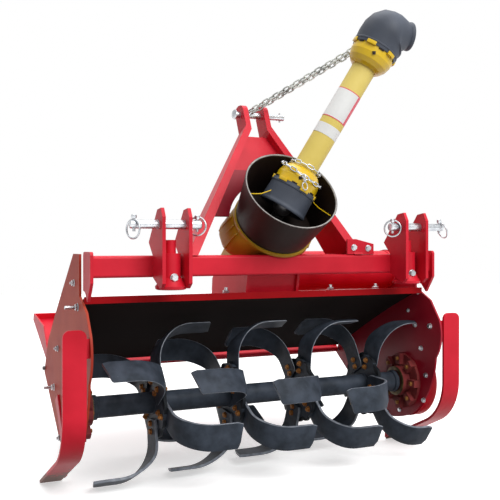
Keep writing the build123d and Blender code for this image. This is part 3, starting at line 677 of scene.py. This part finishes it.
# %% Find the links and lay the chain
def separate_solids(name):
    """The points of each separate solid in a node."""
    welded = bmesh.new()
    welded.from_mesh(frame["nodes"][name].data)
    bmesh.ops.remove_doubles(welded, verts=welded.verts, dist=1e-6)
    left, solids = set(welded.verts), []
    while left:
        start = next(vert for vert in welded.verts if vert in left)
        left.discard(start)
        queue, points = [start], []
        while queue:
            vert = queue.pop()
            points.append(vert.co.copy())
            for edge in vert.link_edges:
                other = edge.other_vert(vert)
                if other in left:
                    left.discard(other)
                    queue.append(other)
        solids.append(points)
    welded.free()
    return solids


def lie_of(points):
    """The matrix that lays a link as some points lie, from their spread."""
    centre = sum(points, Vector()) / len(points)
    rows = numpy.array([point - centre for point in points])
    _, ways = numpy.linalg.eigh(rows.T @ rows)
    return lie(centre, Vector(ways[:, 2]), Vector(ways[:, 0]))


chain, link = bmesh.new(), chain_link(link_length, link_breadth, link_wire)
places = [lie_of(points) for points in separate_solids("restraint_chain")]
for place in places:
    stamp(chain, link, place)
piece("chain_links", chain, [dull_zinc], "frame", stands_for=["restraint_chain"])
print("links:", len(places))

# %% [markdown]
# ## Where the drive lies
#
# The boots, cones and bell follow three lines: the shaft's, from its guard tube, the yoke's
# mouth, from the record's mount, and the gearbox input's, which leans up by 38 degrees. They
# are worked out once, here, and every piece of the drive is placed from them.

# %% The drive's lines
tube_points = [vert.co.copy() for vert in frame["nodes"]["pto_guard"].data.vertices]
tube_middle = sum(tube_points, Vector()) / len(tube_points)
upper_points = [point for point in tube_points if point.z > tube_middle.z]
shaft_up = (sum(upper_points, Vector()) / len(upper_points) - tube_middle).normalized()
half_shaft = 0.280      # from the tube's middle to each universal joint
joint_low, joint_high = tube_middle - shaft_up * half_shaft, tube_middle + shaft_up * half_shaft
yoke_mount = next(m for m in frame["record"]["mounts"] if m["name"] == "pto_yoke_bore")
mouth_way = Vector(yoke_mount["axis"]).normalized()
input_lean = math.radians(38)
drive_way = Vector((0, -math.cos(input_lean), math.sin(input_lean)))
drive_up = Vector((0, math.sin(input_lean), math.cos(input_lean)))
bell_reach = 0.13965    # from the gearbox flange's middle to the bell's mouth
flange_middle = sum(box("gearbox_flange"), Vector()) / 2
bell_mouth = flange_middle + drive_way * bell_reach
low, high = box("side_tube")
gear_middle = Vector((flange_middle.x, (low.y + high.y) / 2, (low.z + high.z) / 2))
print("universal joints at", [round(v, 3) for v in joint_low], [round(v, 3) for v in joint_high])

# %% [markdown]
# ## Rubber boots
#
# A boot is a moulded sleeve over a universal joint: a wall 3 mm thick, a rib near its cone, and
# a thicker lip at its mouth. The upper one bends with its joint. Each is a circle swept through
# stations that give the distance from the joint and the radius, out along the outside and back
# along the inside. A Solidify modifier would thicken the ribs inwards as well, and they should
# only stand out.

# %% Boots
def elbow(distance):
    """The centre and direction of the upper boot, at a distance past its joint."""
    curve = 0.030
    if distance <= -curve:
        return joint_high + shaft_up * distance, shaft_up
    if distance >= curve:
        return joint_high + mouth_way * distance, mouth_way
    k = (distance + curve) / (2 * curve)
    centre = ((joint_high - shaft_up * curve) * (1 - k) ** 2 + joint_high * 2 * k * (1 - k)
              + (joint_high + mouth_way * curve) * k * k)
    return centre, (shaft_up * (1 - k) + mouth_way * k).normalized()


def boot(name, stands_for, outline, line):
    """Sweep a circle along a line out and back, 3 mm further in, and make the boot's piece."""
    wall = 0.003
    outside = [station(*line(distance), radius) for distance, radius in outline]
    inside = [station(*line(distance), radius - wall) for distance, radius in reversed(outline)]
    piece(name, swept(circle(48), outside + inside, hollow=True), [boot_rubber], "frame",
          stands_for=[stands_for])


# distance past the joint and radius; stations close together make a rib or a lip
boot("boot_upper_rubber", "boot_upper", [
    (-0.063, 0.0638), (-0.056, 0.0645), (-0.0545, 0.0660), (-0.0515, 0.0660), (-0.050, 0.0648),
    (-0.040, 0.0655), (-0.028, 0.0668), (-0.015, 0.0692), (-0.003, 0.0702), (0.010, 0.0680),
    (0.022, 0.0610), (0.034, 0.0550), (0.046, 0.0485), (0.057, 0.0420), (0.064, 0.0375),
    (0.0655, 0.0382), (0.0685, 0.0395), (0.073, 0.0398), (0.0755, 0.0385), (0.0765, 0.0350),
], elbow)
boot("boot_lower_rubber", "boot_lower", [
    (0.063, 0.0638), (0.056, 0.0645), (0.0545, 0.0658), (0.0515, 0.0658), (0.050, 0.0645),
    (0.035, 0.0650), (0.020, 0.0656), (0.008, 0.0663), (0.002, 0.0668), (0.0, 0.0682),
    (-0.0045, 0.0685), (-0.0068, 0.0672),
], lambda distance: (joint_low + shaft_up * distance, shaft_up))

# %% [markdown]
# ## Tabs on the cones
#
# Yellow tabs on each cone hook through slots in the boot, and black clips lock between them. A
# plug covers the greasing hole, and a thin lip runs round the cone's narrow end. The tabs are
# small rounded blocks. Three in a row follow the cone's curve closely enough at this size.

# %% Cone tabs
cones = bmesh.new()
hook = block((0.0640, 0, 0.0050), (0.0060, 0.0092, 0.0100))
clip = block((0.0615, 0, 0.00275), (0.0030, 0.0160, 0.0055))
plug = block((0, 0, 0.0006), (0.0090, 0.0090, 0.0012), rounding=0.0003)
lip = wire_ring(0.0382, 0.0012, steps=40)
for joint, way in ((joint_high, -shaft_up), (joint_low, shaft_up)):
    for tab in range(6):
        for chord in (-1, 0, 1):
            turn = FULL_TURN * (tab + 0.35) / 6 + chord * 0.135
            stamp(cones, hook, stand(joint + way * 0.056, way, turn), 0)
        stamp(cones, clip, stand(joint + way * 0.062, way, FULL_TURN * (tab + 0.85) / 6), 1)
    forward = Vector((-0.35, -1, 0.15))
    forward = (forward - way * forward.dot(way)).normalized()
    stamp(cones, plug, stand(joint + way * 0.084 + forward * 0.0608, forward), 1)
    stamp(cones, lip, stand(joint + way * 0.1165, way), 0)
piece("cone_tabs", cones, [glossy_yellow, black_plastic], "frame")

# %% [markdown]
# ## Film on the guard tube
#
# A vinyl label and a narrower band are wound round the tube. Each is a circle extruded down the
# tube in three steps, so that its two edges are faces of their own and can take the border's
# colour. The label has no print on it.

# %% Label and band
film_radius = 0.0344    # just outside the guard tube


def film(name, near, far, edge, colours, bordered=None):
    """Film round the tube between two distances below the upper joint."""
    part = bmesh.new()
    bmesh.ops.create_circle(part, segments=72, radius=film_radius)
    ring = part.edges[:]
    for step in (edge, far - near - 2 * edge, edge):
        ring = grow(part, ring, Matrix.Translation((0, 0, -step)))
    for face in part.faces:
        middle = face.calc_center_median()
        turn = math.degrees(math.atan2(middle.y, middle.x)) % 360
        at_edge = middle.z > -edge or middle.z < near - far + edge
        in_border = bordered is not None and bordered[0] < turn < bordered[1]
        face.material_index = 1 if at_edge or in_border else 0
    side = Vector((1, 0.15, 0))
    side = (side - shaft_up * side.dot(shaft_up)).normalized()
    turn = Matrix((side, shaft_up.cross(side), shaft_up)).transposed().to_4x4()
    whole = bmesh.new()
    stamp(whole, part, Matrix.Translation(joint_high - shaft_up * near) @ turn, None)
    piece(name, whole, colours, "frame")


film("tube_label", 0.196, 0.286, 0.0025, [white_vinyl, pink_vinyl], bordered=(283, 326))
film("tube_band", 0.306, 0.336, 0.0002, [white_vinyl, white_vinyl])

# %% [markdown]
# ## The shaft's own chain
#
# A light chain keeps the guard from turning with the shaft. Parked, it is wound round the lower
# cone, with its ring hanging in front. Its links lie on two leaning circles, each turned a
# quarter from the last, as links do.

# %% Wound chain
wound, light_link = bmesh.new(), chain_link(0.0235, 0.012, 0.0017)
# distance up the shaft, radius, lean in degrees, degrees between links
for distance, radius, lean, gap in ((0.101, 0.0625, 9, 17.2), (0.122, 0.0430, -7, 25.7)):
    axis = Matrix.Rotation(math.radians(lean), 3, "X") @ shaft_up
    count = int(360 / gap)
    for i in range(count):
        at = stand(joint_low + shaft_up * distance, axis, FULL_TURN * i / count).to_3x3()
        radial, run = at.col[0], at.col[1]
        thin = (radial if i % 2 else axis) + radial * 0.35
        centre = joint_low + shaft_up * distance + radial * radius
        stamp(wound, light_link, lie(centre, run, thin))
front = Vector((-0.25, -1, 0))
front = (front - shaft_up * front.dot(shaft_up)).normalized()
hang = joint_low + shaft_up * 0.088 + front * 0.069
stamp(wound, light_link, lie(hang, Vector((0, 0.1, 1)), Vector((1, 0, 0))))
stamp(wound, wire_ring(0.0105, 0.0016, steps=24),
      stand(hang + Vector((0, -0.001, -0.021)), (0.4, -1, 0.1)))
piece("shaft_chain", wound, [zinc_plate], "frame")

# %% [markdown]
# ## The bell's rim and straps
#
# The bell guard is a moulded drum round the input shaft, open towards the tractor. Its rim is
# rolled and scuffed pale. Two thin straps tie the shaft's guard to it and sag between. Each is
# a small circle swept along five points.

# %% Rim and straps
rim = bmesh.new()
stamp(rim, wire_ring(0.1305, 0.0024, steps=72), stand(bell_mouth - drive_way * 0.0015, drive_way))
piece("bell_rim", rim, [scuffed_rim], "frame")
straps = bmesh.new()
for side, lift, fall, reach in ((-1, 0.052, 0.0, 0.125), (1, 0.036, -0.072, 0.104)):
    start = joint_low + shaft_up * lift + Vector((side * 0.063, side * 0.012, 0))
    end = bell_mouth - drive_way * 0.020 + Vector((side * reach, 0, 0)) + drive_up * fall
    sag = (start + end) / 2 + Vector((0, 0, -0.006))
    path = [start, (start + sag) / 2, sag, (sag + end) / 2, end]
    ways = [after - before for before, after in zip(path[:1] + path, path[1:] + path[-1:])]
    stamp(straps, swept(circle(6), [station(p, w, 0.0014) for p, w in zip(path, ways)]))
piece("bell_straps", straps, [glossy_yellow], "frame")

# %% [markdown]
# ## The gearbox's castings
#
# Behind the bell the gearbox swells into a broad cast shoulder, where the bevel gears are, and a
# round cover closes its rear bearing. The shoulder starts as a square whose corners are
# bevelled nearly to a circle. That ring is extruded through sections that widen and then close
# in. Short ribs stiffen its sides, and bolts ring the flange and the cover.

# %% Shoulder, ribs and cover
castings, fasteners = bmesh.new(), bmesh.new()
# distance behind the flange's middle, half width, reach up, reach down
shoulder = [(0.005, 0.110, 0.106, 0.100), (0.010, 0.114, 0.100, 0.096),
            (0.036, 0.126, 0.090, 0.082), (0.070, 0.135, 0.086, 0.076),
            (0.086, 0.131, 0.082, 0.072), (0.100, 0.112, 0.076, 0.070),
            (0.112, 0.084, 0.068, 0.066)]
sections = []
for behind, half, up, down in shoulder:
    turn = Matrix((Vector((half, 0, 0)), drive_up * (up + down) / 2, -drive_way)).transposed()
    middle = flange_middle - drive_way * behind + drive_up * (up - down) / 2
    sections.append(Matrix.Translation(middle) @ turn.to_4x4())
soft_square = bmesh.new()
bmesh.ops.create_grid(soft_square, x_segments=1, y_segments=1, size=1)
bmesh.ops.bevel(soft_square, geom=soft_square.verts[:], offset=0.81, affect="VERTICES",
                segments=12, profile=0.5, material=-1)
bmesh.ops.delete(soft_square, geom=soft_square.faces[:], context="FACES_ONLY")
stamp(castings, swept(soft_square, sections))
for side in (-1, 1):
    for lift in (-0.030, 0.0, 0.030):
        base = flange_middle + Vector((side * 0.116, 0, 0)) + drive_up * (lift - 0.0025)
        stamp(castings, plate([base - drive_way * 0.010, base - drive_way * 0.074,
                               base - drive_way * 0.074 + Vector((side * 0.019, 0, 0)),
                               base - drive_way * 0.012 + Vector((side * 0.006, 0, 0))],
                              drive_up * 0.005))
rear = gear_middle - drive_way * 0.072
cover = turned([(0.054, -0.001), (0.054, 0.007), (0.050, 0.009), (0.030, 0.010), (0.028, 0.015),
                (0.010, 0.016)], 40)
stamp(castings, cover, stand(rear, -drive_way))
piece("gearbox_covers", castings, [ochre_enamel], "frame", rounding=0.001)

# %% Gearbox bolts
flange_bolt_ring, cover_bolt_ring = 0.106, 0.043
for i in range(8):
    turn = math.radians(45 * i + 22.5)
    spoke = Vector((math.cos(turn), 0, 0)) + drive_up * math.sin(turn)
    bolt(fasteners, flange_middle - drive_way * 0.0045 + spoke * flange_bolt_ring, -drive_way,
         0.0065, roll=turn)
for i in range(6):
    turn = math.radians(60 * i)
    spoke = Vector((math.cos(turn), 0, 0)) + drive_up * math.sin(turn)
    bolt(fasteners, rear - drive_way * 0.009 + spoke * cover_bolt_ring, -drive_way, 0.005,
         roll=turn)
bolt(fasteners, gear_middle + drive_up * 0.066 + drive_way * 0.02, drive_up, 0.011)
piece("gearbox_bolts", fasteners, [zinc_plate], "frame")

# %% [markdown]
# ## Bearings
#
# A star-shaped housing holds the bearing at each end of the rotor. Its eight bolts and the
# greasy bush stay with the frame. The dark collars that press on them, and the weld beads where
# the flanges meet the rotor's tube, turn with the rotor, so they are a piece of their own.

# %% Bearing bolts, bushes and collars
bearings, collars = bmesh.new(), bmesh.new()
housing_reach = 0.034   # how far a housing stands out from its side plate
housing_bolt_ring = 0.069
bush = turned([(0.0455, -0.002), (0.0455, 0.003), (0.0425, 0.004), (0.0345, 0.004),
               (0.0335, 0.0)], 40)
collar = turned([(0.0295, 0.004), (0.033, 0.005), (0.033, 0.016), (0.0295, 0.018)], 40)
for side, plate_x in ((-1, plate_left), (1, plate_right)):
    face_x = plate_x - side * housing_reach
    stamp(bearings, bush, stand((face_x + side * 0.001, axle.y, axle.z), (-side, 0, 0)), 1)
    stamp(collars, collar, stand((face_x - side * 0.0005, axle.y, axle.z), (-side, 0, 0)))
    for i in range(8):
        turn = math.radians(45 * i)
        spot = axle + Vector((0, math.cos(turn), math.sin(turn))) * housing_bolt_ring
        bolt(bearings, (plate_x - side * 0.0238, spot.y, spot.z), (-side, 0, 0), 0.0062, roll=turn)
piece("bearing_bolts", bearings, [rusted_steel, greasy_bronze], "frame")
weld_bead = wire_ring(0.0298, 0.0032, steps=40)
for row in range(4):
    for corner in box(f"rotor_flange_{row + 1}"):
        stamp(collars, weld_bead, stand((corner.x, axle.y, axle.z), (1, 0, 0)))
piece("rotor_collars", collars, [slate_paint], "rotor")

# %% [markdown]
# ## Bolts on the side plates
#
# Bolts hold the side plates to the hood, the skids and the chain case. Their places follow no
# single pattern, so they are a table for each side: how far behind the axle, how high, how
# large, and how far the thread stands out. The chain case's cover has a pattern: a half circle
# round the rotor's end and a row up each side.

# %% Plate bolts
# behind the axle, height, half a head's width, the thread past the nut
right_bolts = [
    (-0.073, 0.500, 0.006, 0.0), (-0.024, 0.441, 0.006, 0.0), (-0.132, 0.401, 0.008, 0.0),
    (-0.060, 0.398, 0.007, 0.0), (-0.090, 0.329, 0.007, 0.0), (-0.113, 0.249, 0.007, 0.0),
    (-0.103, 0.171, 0.007, 0.0), (0.020, 0.118, 0.006, 0.0), (0.085, 0.098, 0.006, 0.0),
]
left_bolts = [
    (-0.047, 0.488, 0.009, 0.026), (0.258, 0.233, 0.009, 0.022), (0.203, 0.352, 0.008, 0.004),
    (0.172, 0.104, 0.008, 0.004), (-0.004, 0.548, 0.008, 0.004),
]
bolts = bmesh.new()
for behind, height, size, stud in right_bolts:
    bolt(bolts, (plate_right, axle.y + behind, height), (-1, 0, 0), size, stud=stud)
outer_left = box("side_plate_left")[0].x
for behind, height, size, stud in left_bolts:
    bolt(bolts, (outer_left, axle.y + behind, height), (-1, 0, 0), size, stud=stud)
    if height > 0.3:  # the lower ones end under the hood's edge
        bolt(bolts, (plate_left, axle.y + behind, height), (1, 0, 0), size * 0.9)
end_cover_ring = 0.060
cover_face = box("bearing_cover")[0].x + 0.014
for i in range(4):
    turn = math.radians(90 * i + 45)
    spot = axle + Vector((0, math.cos(turn), math.sin(turn))) * end_cover_ring
    bolt(bolts, (cover_face, spot.y, spot.z), (-1, 0, 0), 0.0065)
print("plate bolts placed")

# %% Chain case bolts
case_face = box("chain_case")[1].x
case_foot = Vector((case_face, axle.y, axle.z))
case_head = Vector((case_face, gear_middle.y, gear_middle.z))
case_way = (case_head - case_foot).normalized()
case_side = Vector((1, 0, 0)).cross(case_way)
foot_ring = 0.094       # the half circle's radius round the rotor's end
case_length = 0.3633    # from the rotor's axis to the gearbox's
narrowing = 0.046       # how much nearer the two rows stand at the case's head
case_bolt = 0.006
for i in range(5):
    turn = math.radians(180 + 45 * i)
    spoke = case_side * math.cos(turn) + case_way * math.sin(turn)
    bolt(bolts, case_foot + spoke * foot_ring, (1, 0, 0), case_bolt, roll=turn)
for side in (-1, 1):
    for share in (0.25, 0.5, 0.75):
        half = foot_ring - narrowing * share
        spot = case_foot + case_way * case_length * share + case_side * side * half
        bolt(bolts, spot, (1, 0, 0), case_bolt, roll=share)
bolt(bolts, case_head, (1, 0, 0), 0.010)
bolt(bolts, case_foot, (1, 0, 0), 0.012)
piece("plate_bolts", bolts, [zinc_plate], "frame")

# %% [markdown]
# ## A tie bar
#
# A short flat bar outside the left plate ties the skid to it. Four corners and a thickness are
# all it needs.

# %% Left tie bar
tie = plate([(outer_left, axle.y + behind, height) for behind, height in
             ((0.186, 0.224), (0.216, 0.204), (0.124, 0.084), (0.094, 0.096))], (-0.006, 0, 0))
piece("left_tie_bar", tie, [red_enamel], "frame", rounding=0.001)

# %% [markdown]
# ## Lynch pins and sockets
#
# Each hitch pin is held by a lynch pin: a short peg down through the pin's end, with a spring
# ring that snaps over. Six of them glint in the light, and they are what a farmer looks for
# first. Under each clevis a socket is welded to the beam, with a skirt that widens to its foot.

# %% Lynch pins, socket bolts and skirts
peg = turned([(0.0038, -0.018), (0.0038, 0.020)], 12)
peg_head = turned([(0.006, 0.014), (0.007, 0.016), (0.007, 0.022), (0.005, 0.024)], 16)
spring_ring = wire_ring(0.0235, 0.0024, steps=30)
skirt = turned([(0.034, 0.0), (0.039, 0.002), (0.040, 0.009), (0.036, 0.014), (0.030, 0.024),
                (0.0275, 0.030)], 40)


def lynch_pin(whole, place, ring_way, drop):
    """A peg with its ring, which faces a direction and hangs by a drop below the place."""
    place = Vector(place)
    for part in (peg, peg_head):
        stamp(whole, part, stand(place, (0, 0, 1)))
    stamp(whole, spring_ring, stand(place - Vector(drop), ring_way))


pins, skirts = bmesh.new(), bmesh.new()
# clevis, side, the outer ring's direction and drop, the inner ring's direction
for name, side, outer_way, outer_drop, inner_way in (
        ("left", -1, (-0.95, -0.45, 0), (0.002, 0, 0.012), (-0.62, -0.78, 0.1)),
        ("right", 1, (0.95, -0.10, 0.35), (-0.012, 0, 0.008), (-0.70, -0.70, 0.1))):
    low, high = box(f"lower_pin_{name}")
    middle = (low + high) / 2
    outboard, inboard = (low.x, high.x) if side < 0 else (high.x, low.x)
    lynch_pin(pins, (outboard - side * 0.011, middle.y, middle.z), outer_way, outer_drop)
    lynch_pin(pins, (inboard + side * 0.010, middle.y, middle.z), inner_way, (0, 0, 0.004))
    low, high = box(f"hitch_socket_{name}")
    middle = (low + high) / 2
    bolt(pins, (middle.x, low.y + 0.0025, low.z + 0.030), (0, -1, 0), 0.0095)
    stamp(skirts, skirt, stand((middle.x, middle.y, low.z - 0.001), (0, 0, 1)))
low, high = box("top_pin")
middle = (low + high) / 2
domed_head = turned([(0.0125, 0), (0.0150, 0.001), (0.0150, 0.003), (0.012, 0.0065),
                     (0.006, 0.008)], 24)
stamp(pins, domed_head, stand((low.x + 0.002, middle.y, middle.z), (-1, 0, 0)))
stamp(pins, turned([(0.0025, -0.014), (0.0025, 0.014)], 8),
      stand((high.x - 0.012, middle.y, middle.z), (0, 0, 1)))
piece("socket_skirts", skirts, [red_enamel], "frame")
piece("lynch_pins", pins, [zinc_plate], "frame")

# %% [markdown]
# ## The mast's folded plate
#
# The plate between the mast's legs is pressed with one fold across it: its upper half faces the
# sky, and its lower half runs back towards the gearbox and lies in shade, which is painted in as
# a darker red. CAD has it flat. A copy of that node is welded, cut across with a bisecting
# plane and leaned back below the cut, which keeps the arch that clears the bell. Drawing the
# folded plate afresh would need that arch's curve again.

# %% Folded mast plate
beam_low, beam_high = box("cross_beam")
pin_middle = sum(box("top_pin"), Vector()) / 2
mast_foot = Vector((0, (beam_low.y + beam_high.y) / 2, beam_high.z))
mast_lean = math.atan2(pin_middle.y - mast_foot.y, pin_middle.z - mast_foot.z)
up_mast = Vector((0, math.sin(mast_lean), math.cos(mast_lean)))
behind_mast = Vector((0, math.cos(mast_lean), -math.sin(mast_lean)))
low, high = box("mast_plate")
fold = mast_foot + up_mast * (low.z + 0.57 * (high.z - low.z) - mast_foot.z) / up_mast.z
fold_angle = math.radians(8)
trim = 0.012            # the folded half is a little shorter than the flat one
folded = bmesh.new()
folded.from_mesh(frame["nodes"]["mast_plate"].data)
bmesh.ops.remove_doubles(folded, verts=folded.verts, dist=1e-6)
bmesh.ops.bisect_plane(folded, geom=folded.verts[:] + folded.edges[:] + folded.faces[:],
                       dist=1e-6, plane_co=fold, plane_no=up_mast)
foot = min((vert.co.dot(up_mast) for vert in folded.verts))
bmesh.ops.bisect_plane(folded, geom=folded.verts[:] + folded.edges[:] + folded.faces[:],
                       dist=1e-6, plane_co=up_mast * (foot + trim), plane_no=up_mast,
                       clear_inner=True)
bmesh.ops.holes_fill(folded, edges=[edge for edge in folded.edges if edge.is_boundary])
# faces below the fold take the darker red, a painted shade
for face in folded.faces:
    face.material_index = 1 if (fold - face.calc_center_median()).dot(up_mast) > 0 else 0
for vert in folded.verts:
    drop = max((fold - vert.co).dot(up_mast), 0)
    vert.co += behind_mast * drop * math.tan(fold_angle)
piece("folded_mast_plate", folded, [red_enamel, painted_shade_enamel], "frame",
      stands_for=["mast_plate"], sharp_from=10)

# %% [markdown]
# ## Plates at the mast's foot
#
# A gusset with one corner cut off braces the mast's right foot on the beam, and the gearbox's
# mount has a front plate between its two cheeks. Pads on the hood take the bolts that hold it
# up. A pad's height is found by dropping a plumb line on to the hood, which also works after
# the hood's curve is changed in CAD.

# %% Gusset, mount and pads
gusset_left, gusset_right = 0.222, 0.312
front_plates = bmesh.new()
# across, and up from the beam
gusset = [(gusset_left, 0), (gusset_right, 0), (gusset_right, 0.030),
          (gusset_left + 0.030, 0.044), (gusset_left, 0.044)]
stamp(front_plates, plate([(x, beam_low.y, beam_high.z + up) for x, up in gusset],
                          (0, 0.006, 0)))
hood = frame["nodes"]["hood"]
hood_front, hood_top = box("hood")[0].y, box("hood")[1].z
mount_left, mount_right = (corner.x for corner in box("gearbox_mount"))
cheek = 0.008
head_y, head_z = beam_high.y, beam_high.z - 0.010
foot_y, foot_z = axle.y - 0.062, hood_top - 0.004
cheek_left, cheek_right = mount_left + cheek, mount_right - cheek
stamp(front_plates, plate([(cheek_left, head_y, head_z), (cheek_right, head_y, head_z),
                           (cheek_right, foot_y, foot_z), (cheek_left, foot_y, foot_z)],
                          (0, 0.006, 0.001)))
piece("mount_front", front_plates, [red_enamel], "frame", rounding=0.001)
pads, bolts = bmesh.new(), bmesh.new()
for x, lift in ((0.244, 0.020), (0.292, 0.018)):
    bolt(bolts, (x, beam_low.y, beam_high.z + lift), (0, -1, 0), 0.008)
for x in (-0.121, 0.214, 0.372):
    met, spot, _, _ = hood.ray_cast(Vector((x, hood_front + 0.032, 1.5)), Vector((0, 0, -1)))
    if met:
        stamp(pads, block(spot + Vector((0, 0, 0.004)), (0.040, 0.028, 0.012), rounding=0.001))
        bolt(bolts, spot + Vector((0, 0, 0.010)), (0, 0, 1), 0.0095, stud=0.008)
piece("hood_pads", pads, [red_enamel], "frame")
piece("mast_bolts", bolts, [zinc_plate], "frame")

# %% [markdown]
# ## The camera
#
# The machine is seen from its front left, at about the height of its beam, from two metres off.
# A 56 mm lens on a 36 mm sensor keeps the near side plate from looming.

# %% Camera
camera_data = bpy.data.cameras.new("camera")
camera_data.sensor_width = 36.0
camera_data.lens = 56.2
camera = bpy.data.objects.new("camera", camera_data)
bpy.context.scene.collection.objects.link(camera)
yaw, pitch = math.radians(25.3), math.radians(-0.4)
aim = Vector((math.sin(yaw) * math.cos(pitch), math.cos(yaw) * math.cos(pitch), math.sin(pitch)))
camera.location = (-0.9825, axle.y - 2.037, 0.648)
camera.rotation_euler = aim.to_track_quat("-Z", "Y").to_euler()
bpy.context.scene.camera = camera
print("camera at", [round(v, 3) for v in camera.location])

# %% [markdown]
# ## A pale floor
#
# The floor should look nearly white, yet throw little light up under the machine, where the
# real one is dark. Light Path tells the two apart: rays from the camera and from reflections
# meet a pale, faintly glowing floor that still takes the shadow, and all other light meets a
# mid grey one.

# %% Floor
floor_paint = bpy.data.materials.new("pale floor")
floor_paint.use_nodes = True
tree = floor_paint.node_tree
tree.nodes.clear()
ray = node(tree, "ShaderNodeLightPath")
looked_at = node(tree, "ShaderNodeMath", {
    0: ray.outputs["Is Camera Ray"], 1: ray.outputs["Is Glossy Ray"]}, operation="MAXIMUM")
grey = node(tree, "ShaderNodeBsdfDiffuse", {"Color": linear("#7A7A7A")})
pale = node(tree, "ShaderNodeBsdfDiffuse", {"Color": linear("#E8E8E8")})
glow = node(tree, "ShaderNodeEmission", {"Color": linear("#FFFFFF"), "Strength": 0.5})
lit = node(tree, "ShaderNodeAddShader", {0: pale.outputs[0], 1: glow.outputs[0]})
both = node(tree, "ShaderNodeMixShader", {
    0: looked_at.outputs[0], 1: grey.outputs[0], 2: lit.outputs[0]})
node(tree, "ShaderNodeOutputMaterial", {"Surface": both.outputs[0]})

floor_mesh = bpy.data.meshes.new("floor")
sheet = bmesh.new()
bmesh.ops.create_grid(sheet, x_segments=1, y_segments=1, size=8,
                      matrix=Matrix.Translation((0, 0, -0.001)))
sheet.to_mesh(floor_mesh)
sheet.free()
floor_mesh.materials.append(floor_paint)
floor = bpy.data.objects.new("floor", floor_mesh)
bpy.context.scene.collection.objects.link(floor)
print("floor", [round(v) for v in floor.dimensions[:2]], "m")

# %% [markdown]
# ## The studio's light
#
# The world is a plain white room, brighter above and to the right, so that upright plates
# facing left are a shade darker than those facing the light. The camera and reflections see
# plain white. Two soft area lamps add a little direction: a key from the front right and a
# larger one overhead. Together they render a colour about as it is written.

# %% World
world = bpy.data.worlds.new("studio")
bpy.context.scene.world = world
world.use_nodes = True
tree = world.node_tree
tree.nodes.clear()
around = node(tree, "ShaderNodeTexCoord").outputs["Generated"]
way = node(tree, "ShaderNodeSeparateXYZ", {0: around})
from_side = node(tree, "ShaderNodeMapRange", {
    "Value": way.outputs["X"], "From Min": -1.0, "From Max": 0.3, "To Min": 0.45, "To Max": 1.05})
from_above = node(tree, "ShaderNodeMapRange", {
    "Value": way.outputs["Z"], "From Min": -0.3, "From Max": 0.8, "To Min": 0.5, "To Max": 1.2})
level = node(tree, "ShaderNodeMath", {
    0: from_above.outputs["Result"], 1: from_side.outputs["Result"]}, operation="MULTIPLY")
ray = node(tree, "ShaderNodeLightPath")
looked_at = node(tree, "ShaderNodeMath", {
    0: ray.outputs["Is Camera Ray"], 1: ray.outputs["Is Glossy Ray"]}, operation="MAXIMUM")
strength = node(tree, "ShaderNodeMix", {0: looked_at.outputs[0], 2: level.outputs[0], 3: 1.0})
backdrop = node(tree, "ShaderNodeBackground", {
    "Color": linear("#FFFFFF"), "Strength": strength.outputs[0]})
node(tree, "ShaderNodeOutputWorld", {"Surface": backdrop.outputs[0]})
bpy.context.scene.view_settings.view_transform = "Standard"
print("world ready")


# %% Lamps
def softbox(name, place, size, power):
    """A square area lamp aimed at the machine's middle."""
    data = bpy.data.lights.new(name, "AREA")
    data.energy = power
    data.size = size
    lamp = bpy.data.objects.new(name, data)
    lamp.location = place
    lamp.rotation_euler = (Vector((0, 0, 0.5)) - Vector(place)).to_track_quat("-Z", "Y").to_euler()
    bpy.context.scene.collection.objects.link(lamp)


softbox("key", (1.0, -3.6, 3.4), 2.5, 145)
softbox("top", (0.5, 0.5, 4.5), 3.0, 80)
print("lamps ready")
